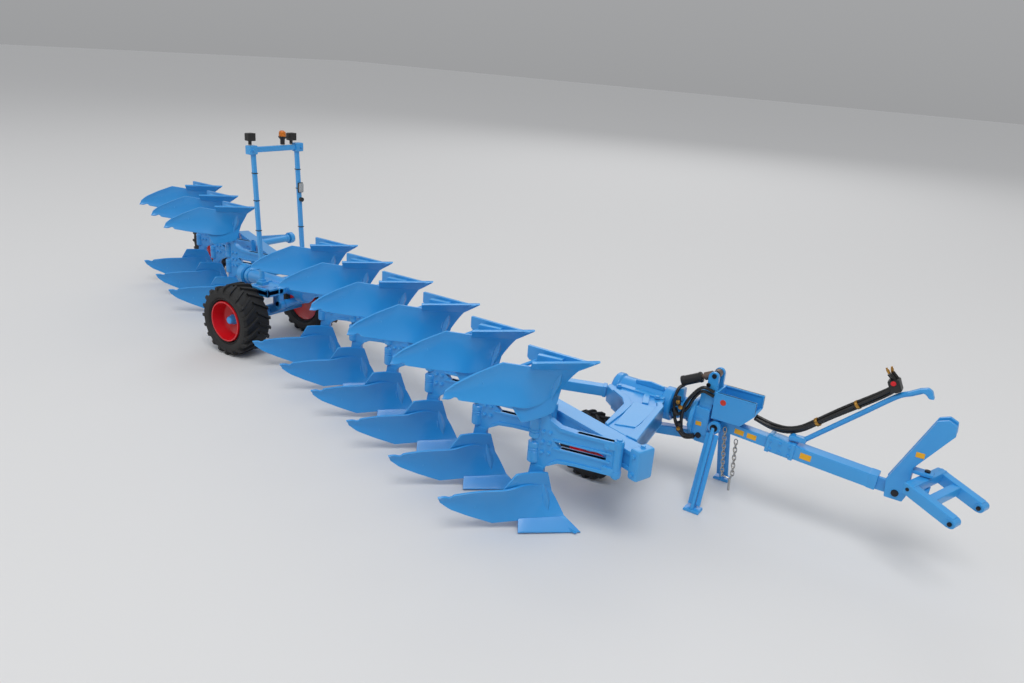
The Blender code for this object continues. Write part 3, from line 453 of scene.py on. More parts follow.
    def tube(self, points: Sequence[Point], radius: float, sides: int = 10, closed: bool = False) -> "Shape":
        """Add a round tube that follows the points.

        Args:
            points: the middle line.
            radius: of the tube.
            sides: steps around it.
            closed: join the last point to the first.

        Returns:
            This shape.
        """
        solid = bmesh.new()
        line = [Vector(point) for point in points]
        count = len(line)
        side = Vector((0, 0, 1))
        rings = []
        for at, place in enumerate(line):
            before = line[at - 1] if closed or at else place
            after = line[(at + 1) % count] if closed or at < count - 1 else place
            run = (after - before).normalized()
            side = (side - run * side.dot(run))
            side = side.normalized() if side.length > 1e-4 else run.orthogonal().normalized()
            other = run.cross(side)
            rings.append([solid.verts.new(place + (side * math.cos(t) + other * math.sin(t)) * radius)
                          for t in (math.tau * step / sides for step in range(sides))])
        pairs = list(zip(rings, rings[1:])) + ([(rings[-1], rings[0])] if closed else [])
        for first, second in pairs:
            for step in range(sides):
                near = (step + 1) % sides
                solid.faces.new((first[step], first[near], second[near], second[step]))
        if not closed:
            solid.faces.new(rings[0])
            solid.faces.new(rings[-1][::-1])
        return self.take(solid, 0.0)

    def sheet(self, rows: Sequence[Sequence[Vector]], thickness: float, soil_side: Vector,
              bevel: float = 0.15) -> "Shape":
        """Add a curved sheet given as a grid of points on its soil side.

        Args:
            rows: the grid, row by row.
            thickness: of the sheet, laid on the far side of the grid.
            soil_side: rough direction that the grid's face looks.
            bevel: rounding of its rim.

        Returns:
            This shape.
        """
        solid = bmesh.new()
        grid = [[solid.verts.new(point) for point in row] for row in rows]
        for low, high in zip(grid, grid[1:]):
            for a, b, c, d in zip(low, low[1:], high[1:], high):
                if len({tuple(v.co) for v in (a, b, c, d)}) == 4:
                    solid.faces.new((a, b, c, d))
        bmesh.ops.remove_doubles(solid, verts=solid.verts, dist=1e-4)
        solid.normal_update()
        if sum((f.normal * f.calc_area() for f in solid.faces), Vector()).dot(soil_side) < 0:
            bmesh.ops.reverse_faces(solid, faces=solid.faces)
        solid.normal_update()
        backs = {vert: vert.co - vert.normal * thickness for vert in solid.verts}
        copy = bmesh.ops.duplicate(solid, geom=list(solid.faces))
        made = copy["vert_map"]
        rim = [edge for edge in solid.edges if edge.is_boundary and edge.verts[0] in backs]
        bmesh.ops.reverse_faces(solid, faces=[f for f in copy["geom"] if isinstance(f, bmesh.types.BMFace)])
        for vert, place in backs.items():
            made[vert].co = place
        for edge in rim:
            a, b = edge.verts
            solid.faces.new((a, b, made[b], made[a]))
        return self.take(solid, bevel)

    def moved(self, shift: Point, mirror_z: float | None = None) -> "Shape":
        """Give a moved copy, mirrored at a height if one is given."""
        other = Shape()
        other.bm.free()
        other.bm = self.bm.copy()
        for vert in other.bm.verts:
            if mirror_z is not None:
                vert.co.z = 2 * mirror_z - vert.co.z
            vert.co += Vector(shift)
        if mirror_z is not None:
            bmesh.ops.reverse_faces(other.bm, faces=other.bm.faces)
        return other


def pitch_y(pair: int) -> float:
    """Sideways pitch in the section that carries the pair."""
    return REAR_PITCH_Y if pair >= FRONT_PAIRS else FRONT_PITCH_Y


def pair_shift(pair: int) -> Vector:
    """Move of a pair of bottoms from the first pair's place."""
    if pair < FRONT_PAIRS:
        return Vector((-PITCH_X * pair, FRONT_PITCH_Y * pair, 0))
    return Vector((-PITCH_X * pair - SECTION_GAP[0],
                   FRONT_PITCH_Y * FRONT_PAIRS + SECTION_GAP[1] + REAR_PITCH_Y * (pair - FRONT_PAIRS), 0))


def section(pair: int) -> str:
    """Name of the moving body that carries the pair."""
    return "front_section" if pair < FRONT_PAIRS else "rear_section"


def along(angle: float) -> Vector:
    """Unit vector in the ground plane, in degrees from straight back towards the left."""
    return Vector((-math.cos(math.radians(angle)), math.sin(math.radians(angle)), 0))


UP = Vector((0, 0, 1))
AXIS = Vector((0, AXIS_Y, AXIS_Z))


def beam_direction(pair: int = 0) -> Vector:
    """Unit vector back along the beam that carries the pair."""
    return Vector((-PITCH_X, pitch_y(pair), 0)).normalized()


def beam_side(pair: int = 0) -> Vector:
    """Unit vector across that beam, towards the far side."""
    return Vector((pitch_y(pair), PITCH_X, 0)).normalized()


def beam_point(x: float, pair: int = 0) -> Vector:
    """Point of a beam's middle line at x, for the beam that carries the pair."""
    start = Vector((PIVOT_X, PIVOT_Y, AXIS_Z)) + pair_shift(pair) + beam_side(pair) * BEAM_OFFSET
    run = beam_direction(pair)
    return start + run * ((x - start.x) / run.x)


def boss_reach(pair: int) -> float:
    """From the pivot line to the boss at the bracket's front end, which clears the beam."""
    clear = BEAM_SIZE / 2 - BEAM_OFFSET + GAP + BOSS_RADIUS
    return clear / math.sin(math.atan2(pitch_y(pair), PITCH_X) + math.radians(BRACKET_ANGLE))


def smooth_route(points: Sequence[Point], steps: int) -> list[Vector]:
    """Catmull-Rom curve through the points.

    Args:
        points: the corners of the route.
        steps: how many points between each two.

    Returns:
        The points of the curve.
    """
    places = [Vector(point) for point in points]
    padded = [places[0] * 2 - places[1], *places, places[-1] * 2 - places[-2]]
    route = []
    for a, b, c, d in zip(padded, padded[1:], padded[2:], padded[3:]):
        for step in range(steps):
            t = step / steps
            route.append(((b * 2) + (c - a) * t + (a * 2 - b * 5 + c * 4 - d) * t ** 2
                          + (b * 3 - a - c * 3 + d) * t ** 3) / 2)
    route.append(places[-1])
    return route


def arc(centre: Point, radius: float, start: float, end: float, steps: int = 8) -> list[tuple[float, float]]:
    """Points on an arc, its angles in degrees."""
    return [(centre[0] + radius * math.cos(math.radians(start + (end - start) * step / steps)),
             centre[1] + radius * math.sin(math.radians(start + (end - start) * step / steps)))
            for step in range(steps + 1)]


# --- plough bottoms -----------------------------------------------------------------------------
@dataclass
class PloughBottom:
    """Share, moldboard and trash board, with the frog that carries them behind."""

    # Columns from the shin back to the tail: lower edge x, y, z and upper edge x, y, z.
    columns: tuple = (
        (-5.0, -0.6, 3.9, -12.0, -1.4, 14.0),
        (-11.0, -6.0, 3.6, -15.0, -8.6, 15.8),
        (-17.0, -11.5, 3.4, -18.8, -16.0, 16.3),
        (-24.0, -17.2, 2.3, -26.5, -22.6, 15.6),
        (-29.5, -23.2, 5.6, -31.4, -27.0, 14.6),
        (-35.6, -30.6, 10.4, -36.2, -31.9, 13.6),
    )
    wing: tuple = (-15.2, -14.4, 0.95)
    tip: tuple = (0.9, 0.45, 0.5)
    trash_top: tuple = ((-11.7, -3.5, 20.2), (-14.4, -9.0, 21.6), (-17.3, -14.6, 21.9))
    bulge: float = 1.5
    sheet: float = 0.75
    across: int = 40
    upward: int = 12
    soil_side: Vector = field(default_factory=lambda: Vector((0.6, -0.8, 0.2)))

    def _edge(self, which: int, u: float) -> Vector:
        """Lower (0) or upper (3) edge of the moldboard at a place u from 0, the shin, to 5, the tail."""
        places = [Vector(column[which:which + 3]) for column in self.columns]
        if which == 0 and u >= 2.0:
            at = min(int(u), len(places) - 2)
            return places[at].lerp(places[at + 1], u - at)
        padded = [places[0] * 2 - places[1], *places, places[-1] * 2 - places[-2]]
        at = min(int(u), len(places) - 2)
        t = u - at
        a, b, c, d = padded[at:at + 4]
        return ((b * 2) + (c - a) * t + (a * 2 - b * 5 + c * 4 - d) * t ** 2
                + (b * 3 - a - c * 3 + d) * t ** 3) / 2

    def point(self, u: float, share: float) -> Vector:
        """Point of the moldboard's face: share runs from its lower edge, 0, to its upper edge, 1."""
        low, high = self._edge(0, u), self._edge(3, u)
        if u < 0.0:
            low, high = self._edge(0, 0.0), self._edge(3, 0.0)
        hollow = Vector((-0.6, 0.8, 0)) * self.bulge * 4 * share * (1 - share) * (1 - 0.12 * u)
        return low.lerp(high, share) + hollow

    def _reach(self, u: float) -> float:
        """How far up the moldboard's plate goes at u: an arch under the trash board, a barb at the tail."""
        arch = 0.10 * math.sin(math.pi * min(u / 2.1, 1.0)) if u < 2.1 else 0.0
        barb = 0.16 * max(0.0, 1 - abs(u - 4.45) / 0.22)
        return 0.99 + arch - barb

    def _low(self, u: float) -> float:
        """Where the moldboard's lower edge lies at u, rounded up at the very tail."""
        return 0.0 if u < 4.6 else 0.35 * ((u - 4.6) / 0.4) ** 2

    def shape(self) -> Shape:
        """Build one lower bottom at the first pair's place.

        Returns:
            The shape.
        """
        shape = Shape()
        last = len(self.columns) - 1
        rows = []
        for row in range(self.upward + 1):
            line = []
            for column in range(self.across + 1):
                u = last * column / self.across
                low, high = self._low(u), self._reach(u)
                line.append(self.point(u, low + (high - low) * row / self.upward))
            rows.append(line)
        shape.sheet(rows, self.sheet, self.soil_side, bevel=0.18)
        self._share(shape)
        self._trash_board(shape)
        self._frog(shape)
        return shape

    def _share(self, shape: Shape) -> None:
        """Add the share, a thicker plate that stands a little proud of the moldboard."""
        proud = self.soil_side.normalized() * 0.14
        rows = []
        for row in range(6):
            line = []
            for column in range(13):
                u = 2.0 * column / 12
                edge = Vector(self.tip).lerp(Vector(self.wing), column / 12)
                seam = self.point(u, 0.07)
                if column == 0:
                    seam = self.point(0.0, 0.1)
                line.append(edge.lerp(seam, row / 5) + proud * (0.35 + 0.65 * min(row, 3) / 3))
            rows.append(line)
        shape.sheet(rows, 0.95, self.soil_side, bevel=0.2)

    def _trash_board(self, shape: Shape) -> None:
        """Add the trash board, behind the moldboard's arched edge."""
        back = -self.soil_side.normalized() * 0.55
        rows = []
        for row in range(9):
            line = []
            for column in range(15):
                u = 2.4 * column / 14
                t = column / 14
                foot = self.point(u, 0.82)
                first, second, third = (Vector(place) for place in self.trash_top)
                top = first * (1 - t) ** 2 + (second * 2 - (first + third) / 2) * 2 * t * (1 - t) + third * t * t
                line.append(foot.lerp(top, row / 8) + back * (1 - 0.6 * row / 8))
            rows.append(line)
        shape.sheet(rows, 0.8, self.soil_side, bevel=0.2)

    def _frog(self, shape: Shape) -> None:
        """Add the block behind the moldboard and a stay out to its tail."""
        shape.bar((-12.0, -1.2, 4.4), (-15.6, -7.6, 5.0), 2.2, 4.0, bevel=0.4)
        shape.bar((-17.0, -1.6, 9.5), (-19.0, -12.0, 10.6), 1.6, 3.6, bevel=0.3)
        stay_start, stay_end = Vector((-20.0, -1.2, 4.2)), self.point(3.6, 0.45) + Vector((-0.7, 0.9, 0))
        shape.rod(stay_start, stay_end, 0.65, sides=12)
        shape.rod(stay_end - (stay_end - stay_start).normalized() * 1.4, stay_end + Vector((0.3, -0.4, 0)), 1.0,
                  sides=12, bevel=0.15)

    def build(self, workshop: Workshop) -> None:
        """Deliver all bottoms, one below and one mirrored above for each pair."""
        pattern = self.shape()
        for pair in range(FRONT_PAIRS + REAR_PAIRS):
            for level, mirror in (("lower", None), ("upper", AXIS_Z)):
                workshop.deliver(pattern.moved(pair_shift(pair), mirror), f"{level}_moldboard_{pair + 1}",
                                 BLUE_ENAMEL, section(pair), [f"{level}_bottom_{pair + 1}"])
        pattern.bm.free()


@dataclass
class LegPair:
    """Trip bracket with its upright boss, the two trip barrels, and a leg with its landside above and below."""

    height: float = 12.0
    boss_height: float = 13.2
    thickness: float = 2.4
    slot_half: float = 1.1
    reach: float = 34.75
    barrel_radius: float = 2.1
    landside_y: float = -1.2

    def shape(self, boss: float) -> Shape:
        """Build the leg pair of the first pair of bottoms.

        Args:
            boss: how far the upright boss stands behind the pivot line.

        Returns:
            The shape.
        """
        shape = Shape()
        self.way = along(-BRACKET_ANGLE)
        self.side = Vector((-self.way.y, self.way.x, 0))       # towards the near side
        self.start = Vector((PIVOT_X, PIVOT_Y, AXIS_Z))
        self._web(shape, boss)
        self._boss(shape, boss)
        for side in (1, -1):
            self._barrel(shape, side)
            self._leg(shape, side)
        return shape

    def at(self, u: float, w: float, out: float = 0.0) -> Vector:
        """Point on the bracket: u back from the pivot, w above the axis, out to the side."""
        return self.start + self.way * u + UP * w + self.side * out

    def _web(self, shape: Shape, boss: float) -> None:
        """Add the slotted web with its raised rims and bolts."""
        half, gap = self.height / 2, self.slot_half
        upper = [(boss, half), (20.0, half), (25.5, half + 0.5), (29.6, half + 2.6), (31.6, half + 6.4), (32.4, 15.4),
                 (36.3, 15.4), (35.4, half + 4.0), (34.3, 2.2)]
        outline = upper + [(u, -w) for u, w in reversed(upper)]
        slot = [(boss + 3.6, gap), (27.6, gap), (25.4, -gap), (boss + 3.6, -gap)]
        shape.plate(outline, self.thickness - 0.5, self.at(0, 0), self.way, UP, [slot], bevel=0.2)
        for sign in (1, -1):
            rim = [(boss, half - 1.3), (boss, half), (20.0, half), (25.6, half + 0.5), (29.4, half + 2.5),
                   (28.6, half + 1.0), (25.8, half - 0.8), (20.0, half - 1.2)]
            lip = [(boss + 2.0, gap), (boss + 2.0, gap + 0.8), (28.2, gap + 0.8), (27.4, gap)]
            for edge, thick in ((rim, self.thickness + 0.5), (lip, self.thickness + 0.3)):
                shape.plate([(u, sign * w) for u, w in edge], thick, self.at(0, 0), self.way, UP, bevel=0.14)
        for out in (1, -1):
            for u in (29.2, 31.6):
                for w in (-3.7, 0.0, 3.7):
                    shape.bolt(self.at(u, w, out * (self.thickness / 2 - 0.25)), self.side * out, 1.2)
            for w in (-3.5, 3.5):
                shape.bolt(self.at(boss + 3.4, w, out * (self.thickness / 2 - 0.25)), self.side * out, 1.2)

    def _boss(self, shape: Shape, boss: float) -> None:
        """Add the upright boss ahead of the web, with its collars and the ends of its pin."""
        half = self.boss_height / 2
        shape.rod(self.at(boss, -half), self.at(boss, half), BOSS_RADIUS - 0.15, sides=28, bevel=0.2)
        for sign in (1, -1):
            shape.rod(self.at(boss, sign * (half - 2.4)), self.at(boss, sign * (half - 0.5)), BOSS_RADIUS, sides=28,
                      bevel=0.2)
            shape.rod(self.at(boss, sign * half), self.at(boss, sign * (half + 0.6)), 1.0, sides=18, bevel=0.15)
            shape.bar(self.at(boss, sign * 4.2), self.at(boss + 4.6, sign * 4.2), 3.0, 2.0, bevel=0.3)

    def _barrel(self, shape: Shape, side: int) -> None:
        """Add a trip barrel with its bands, neck and cap."""
        r = self.barrel_radius
        outer, inner = 8.4, 0.8
        profile = [(0, inner), (r - 0.3, inner), (r, inner + 0.3), (r, 2.6), (r - 0.18, 2.75), (r - 0.18, 3.05), (r, 3.2),
                   (r, 3.6), (r - 0.18, 3.75), (r - 0.18, 4.05), (r, 4.2), (r, outer - 0.4), (r - 0.4, outer), (0, outer)]
        centre = self.at(self.reach, 0)
        shape.lathe(profile, centre, UP * side, 28)
        shape.lathe([(0, -0.2), (1.1, -0.2), (1.1, 1.0), (0, 1.0)], centre, UP * side, 18)
        shape.bolt(self.at(self.reach, side * outer), UP * side, 1.1, 0.4)

    def _leg(self, shape: Shape, side: int) -> None:
        """Add the curved leg with its landside."""
        leg = [(30.6, 9.0), (30.2, 14.0), (29.0, 18.0), (27.6, 21.5), (27.2, 25.0), (27.6, 30.0), (36.2, 30.0),
               (36.4, 26.0), (36.3, 20.0), (36.2, 14.0), (34.6, 9.0)]
        shape.plate([(u, side * w) for u, w in leg], self.thickness - 0.2, self.at(0, 0), self.way, UP, bevel=0.3)
        plate = [(29.8, 19.6), (29.2, 24.8), (35.4, 24.8), (35.6, 19.6)]
        shape.plate([(u, side * w) for u, w in plate], self.thickness + 0.9, self.at(0, 0), self.way, UP, bevel=0.2)
        for u, w in ((31.0, 21.0), (34.0, 21.0), (31.0, 23.6), (34.0, 23.6)):
            for out in (1, -1):
                shape.bolt(self.at(u, side * w, out * (self.thickness / 2 + 0.4)), self.side * out, 1.0)
        low = 0.6
        landside = [(0.0, low - 0.1), (-25.0, low), (-25.0, 4.6), (-24.2, 5.5), (-11.4, 5.5), (-8.0, 3.8), (-3.4, 2.0)]
        flip = [(x, side * (z - AXIS_Z)) for x, z in landside]
        shape.plate(flip, 1.3, (0, self.landside_y, AXIS_Z), (1, 0, 0), UP, bevel=0.2)
        for x in (-14.0, -17.4, -21.6):
            shape.bolt((x, self.landside_y + 0.6, AXIS_Z + side * (3.0 - AXIS_Z)), (0, 1, 0), 1.1)

    def build(self, workshop: Workshop) -> None:
        """Deliver a leg pair for each pair of bottoms."""
        for pairs in (range(FRONT_PAIRS), range(FRONT_PAIRS, FRONT_PAIRS + REAR_PAIRS)):
            pattern = self.shape(boss_reach(pairs[0]))
            for pair in pairs:
                workshop.deliver(pattern.moved(pair_shift(pair)), f"trip_leg_{pair + 1}", BLUE_ENAMEL, section(pair),
                                 [f"leg_pair_{pair + 1}"])
            pattern.bm.free()


# --- frames -------------------------------------------------------------------------------------
@dataclass
class BoxBeam:
    """Square beam with raised rails along its edges."""

    start_x: float
    end_x: float
    pair: int
    size: float = BEAM_SIZE

    def shape(self) -> Shape:
        """Build the beam.

        Returns:
            The shape.
        """
        shape = Shape()
        start, end = beam_point(self.start_x, self.pair), beam_point(self.end_x, self.pair)
        half = self.size / 2
        shape.bar(start, end, self.size - 0.7, self.size - 0.3, bevel=0.3)
        for level in (1, -1):
            rise = UP * level * (half - 0.8)
            shape.bar(start + rise, end + rise, self.size, 1.6, bevel=0.25)
        return shape


@dataclass
class FrontFrame:
    """Front beam, cross frame with the turnover bearing, strut, box and rear crosshead."""

    block_height: float = 11.0
    block_width: float = 7.6

    def build(self, workshop: Workshop) -> None:
        """Deliver the frame's pieces."""
        shape = BoxBeam(PIVOT_X + 2.0, -184.0, 0).shape()
        self._end_block(shape)
        workshop.deliver(shape, "front_main_beam", BLUE_ENAMEL, "front_section", ["front_beam"])
        workshop.deliver(self._cross_frame(), "cross_frame_casting", BLUE_ENAMEL, "front_section",
                         ["cross_frame"])
        workshop.deliver(self._strut(workshop), "strut", BLUE_ENAMEL, "front_section", ["strut_tube"])
        workshop.deliver(self._crosshead(), "rear_crosshead_casting", BLUE_ENAMEL, "front_section",
                         ["rear_crosshead"])
        low, high = (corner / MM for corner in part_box("tool_box"))
        centre = (low + high) / 2 - workshop.origin / MM
        box = Shape()
        box.box((10.6, 5.6, 2.2), centre - Vector((0, 0, 0.5)), yaw=20.0, bevel=0.3)
        box.box((11.0, 6.0, 1.0), centre + Vector((0, 0, 1.0)), yaw=20.0, bevel=0.3)
        box.box((1.6, 0.5, 1.2), centre + along(-20.0).cross(UP) * 3.0 + UP * 0.4, yaw=20.0, bevel=0.1)
        workshop.deliver(box, "red_box", RED_ENAMEL, "front_section", ["tool_box"])

    def _end_block(self, shape: Shape) -> None:
        """Add the rounded block on the beam's front end, and the sunk strip on its near side."""
        run, across = beam_direction(), beam_side()
        middle = beam_point(PIVOT_X + 2.0) - across * (BEAM_OFFSET - 1.9)
        start, end = middle - run * 1.4, middle + run * 2.8
        shape.bar(start, end, self.block_width, self.block_height, bevel=0.9)
        shape.bar(start - run * 0.1, end - run * 1.6, self.block_width - 1.8, self.block_height - 1.8, bevel=0.4)
        for level in (1, -1):
            shape.bolt(middle + run * 0.7 + UP * level * self.block_height / 2, UP * level, 1.4)
            foot = middle + run * 0.7 - across * self.block_width / 2 + UP * level * 3.2
            shape.bolt(foot, -across, 1.3)
        near = across * (BEAM_SIZE / 2 - 0.3)
        for level in (1.4, -1.4):
            rise = UP * level
            shape.bar(beam_point(11.0) - near + rise, beam_point(-9.0) - near + rise, 0.5, 0.8, bevel=0.15)

    def _cross_frame(self) -> Shape:
        """Add the casting from the beam to the turnover bearing."""
        shape = Shape()
        inner = BEAM_SIZE / 2 + 0.35
        front, rear = beam_point(11.0) + beam_side() * inner, beam_point(-3.6) + beam_side() * inner
        outline = [(front.x, front.y), (10.2, 24.0), (7.6, 43.0), (5.6, 46.0), (5.0, 50.0), (-18.0, 50.0),
                   (-18.0, 47.4), (-14.0, 44.0), (-7.6, 39.4), (-4.8, 35.0), (-4.0, 28.0), (rear.x, rear.y)]
        thick = BEAM_SIZE + 1.0
        shape.plate(outline, thick - 1.4, (0, 0, AXIS_Z), (1, 0, 0), (0, 1, 0), bevel=0.5)
        rim = [(front.x, front.y), (10.2, 24.0), (7.6, 43.0), (5.8, 45.4), (3.6, 45.0), (5.2, 42.0), (7.4, 24.0),
               (7.6, front.y + 0.9)]
        other = [(rear.x, rear.y), (-4.0, 28.0), (-4.8, 35.0), (-7.6, 39.4), (-14.0, 44.0), (-12.6, 46.0),
                 (-5.4, 41.4), (-2.0, 36.0), (-1.2, 28.0), (-0.8, rear.y - 1.0)]
        for edge in (rim, other):
            shape.plate(edge, thick, (0, 0, AXIS_Z), (1, 0, 0), (0, 1, 0), bevel=0.4)
        shape.plate([(7.4, 20.0), (6.4, 40.0), (-3.0, 40.0), (-0.6, 24.0), (0.4, 17.4)], thick - 0.5, (0, 0, AXIS_Z),
                    (1, 0, 0), (0, 1, 0), bevel=0.35)
        self._bearing(shape)
        return shape

    def _bearing(self, shape: Shape) -> None:
        """Add the turnover bearing, its collars, ribs and bolts."""
        axis = Vector((0, AXIS_Y, AXIS_Z))
        profile = [(0, -18.0), (5.6, -18.0), (6.2, -17.4), (6.2, -15.4), (5.5, -14.8), (5.5, 2.6), (6.3, 3.2),
                   (6.3, 6.4), (5.7, 7.0), (0, 7.0)]
        shape.lathe(profile, axis, (1, 0, 0), 40, bevel=0.12)
        for level in (1, -1):
            shape.bar((-15.0, AXIS_Y - 5.6, AXIS_Z + level * 2.9), (4.6, AXIS_Y - 5.6, AXIS_Z + level * 2.9), 3.0, 2.2,
                      bevel=0.3)
            shape.bar((-2.0, AXIS_Y - 7.0, AXIS_Z + level * 3.6), (1.0, AXIS_Y - 15.0, AXIS_Z + level * 3.6), 2.4, 0.8,
                      bevel=0.2)
            for x in (2.4, -13.4):
                shape.bolt((x, AXIS_Y - 7.4, AXIS_Z + level * 3.9), UP * level, 1.4)
            for turn in range(6):
                angle = math.radians(60 * turn + 15)
                shape.bolt((6.9, AXIS_Y + 4.9 * math.cos(angle), AXIS_Z + 4.9 * math.sin(angle)), (1, 0, 0), 0.9)
            shape.plate([(-9.0, 0.0), (-9.0, 1.4), (-3.0, 2.2), (2.6, 1.6), (2.6, 0.0)], 1.1,
                        (0, AXIS_Y - 2.0, AXIS_Z + level * 5.0), (1, 0, 0), UP * level, bevel=0.2)

    @staticmethod
    def _strut(workshop: Workshop) -> Shape:
        """Add the square strut with its end plates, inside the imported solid's box.

        Args:
            workshop: gives the maker's frame.

        Returns:
            The shape.
        """
        low, high = (corner / MM - workshop.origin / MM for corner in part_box("strut_tube"))
        size = 4.0
        run = along(-20.0)
        lean = Vector((abs(run.y), abs(run.x), 0)) * size / 2
        start = Vector((high.x - lean.x, high.y - lean.y, AXIS_Z))
        end = Vector((low.x + lean.x, low.y + lean.y, AXIS_Z))
        run = (end - start).normalized()
        shape = Shape()
        shape.bar(start, end, size - 0.1, size, bevel=0.3)
        for foot in (start + run * 0.2, end - run * 1.6):
            shape.bar(foot, foot + run * 1.4, size + 0.4, size + 0.4, bevel=0.2)
        return shape

    def _crosshead(self) -> Shape:
        """Add the crosshead that joins the front beam to the carriage's bearing."""
        shape = Shape()
        tail = beam_point(-184.0)
        end = Vector((-194.0, AXIS_Y, AXIS_Z))
        shape.bar(end, end + Vector((0, tail.y - AXIS_Y + 5.0, 0)), 5.0, BEAM_SIZE - 0.4, bevel=0.4)
        for level in (1, -1):
            shape.bar(end + UP * level * 3.0, end + Vector((0, tail.y - AXIS_Y + 5.0, level * 3.0)), 5.6, 1.0, bevel=0.2)
        shape.lathe([(0, -3.0), (4.6, -3.0), (5.5, -2.4), (5.5, 2.4), (4.6, 3.0), (0, 3.0)], end, (1, 0, 0), 36, 0.1)
        shape.bar(tail + beam_direction() * 0.35, tail + beam_direction() * 9.0, 5.0, 5.0, bevel=0.4)
        for turn in range(6):
            angle = math.radians(60 * turn)
            shape.bolt(end + Vector((2.9, 4.0 * math.cos(angle), 4.0 * math.sin(angle))), (1, 0, 0), 0.8)
        return shape


@dataclass
class RearFrame:
    """Rear beam with its hub arm, and the rear wheel's arm."""

    bearing_x: float = -238.0
    arm_pivot_x: float = -288.0
    wheel_x: float = -351.0
    wheel_y: float = 120.0
    wheel_radius: float = 17.5
    wheel_width: float = 10.0

    def build(self, workshop: Workshop) -> None:
        """Deliver the rear frame's pieces."""
        first = FRONT_PAIRS
        hub = Vector((self.bearing_x, AXIS_Y, AXIS_Z))
        head_x = self.bearing_x - 2.3 - 0.35 - 1.2
        head = beam_point(head_x, first)
        arm = Shape()
        arm.bar(hub, (hub.x, head.y + 2.0, AXIS_Z), 4.0, BEAM_SIZE - 0.6, bevel=0.4)
        for level in (1, -1):
            arm.bar(hub + UP * level * 3.0, (hub.x, head.y + 2.0, AXIS_Z + level * 3.0), 4.5, 0.9, bevel=0.2)
        arm.lathe([(0, -2.3), (4.7, -2.3), (5.5, -1.7), (5.5, 1.7), (4.7, 2.3), (0, 2.3)], hub, (1, 0, 0), 36, 0.1)
        workshop.deliver(arm, "rear_hub_arm", BLUE_ENAMEL, "rear_section", ["rear_crosshead_arm"])
        tail_x = PIVOT_X + pair_shift(first + REAR_PAIRS - 1).x - 9.0
        beam = BoxBeam(head_x, tail_x, first).shape()
        tube_end = Vector((self.arm_pivot_x, self.wheel_y + self.wheel_width / 2 + 3.0, AXIS_Z))
        tube_start = beam_point(self.arm_pivot_x, first)
        beam.rod(tube_start, tube_end, 2.1, sides=24, bevel=0.3)
        beam.rod(tube_end - Vector((0, 1.8, 0)), tube_end, 2.4, sides=24, bevel=0.2)
        beam.rod(tube_start + Vector((0, 3.4, 0)), tube_start + Vector((0, 5.4, 0)), 3.0, sides=24, bevel=0.3)
        workshop.deliver(beam, "rear_main_beam", BLUE_ENAMEL, "rear_section", ["rear_beam"])
        workshop.deliver(self._wheel_arm(tube_end), "rear_wheel_trailing_arm", BLUE_ENAMEL, "rear_wheel_arm",
                         ["rear_wheel_arm"])

    def _wheel_arm(self, tube_end: Vector) -> Shape:
        """Add the trailing arm with its boss and stub axle."""
        shape = Shape()
        y = tube_end.y + 0.35 + 1.5
        pin = Vector((tube_end.x, y, AXIS_Z))
        axle = Vector((self.wheel_x, y, self.wheel_radius))
        shape.bar(pin, axle, 2.4, 3.6, bevel=0.4)
        shape.bar(pin, axle, 1.6, 4.4, bevel=0.3)
        shape.rod(pin - Vector((0, 1.5, 0)), pin + Vector((0, 1.5, 0)), 3.4, sides=30, bevel=0.35)
        shape.bolt(pin + Vector((0, 1.4, 0)), (0, 1, 0), 2.6)
        shape.rod(axle + Vector((0, 1.4, 0)), (axle.x, self.wheel_y + 2.9, axle.z), 1.7, sides=22, bevel=0.2)
        return shape


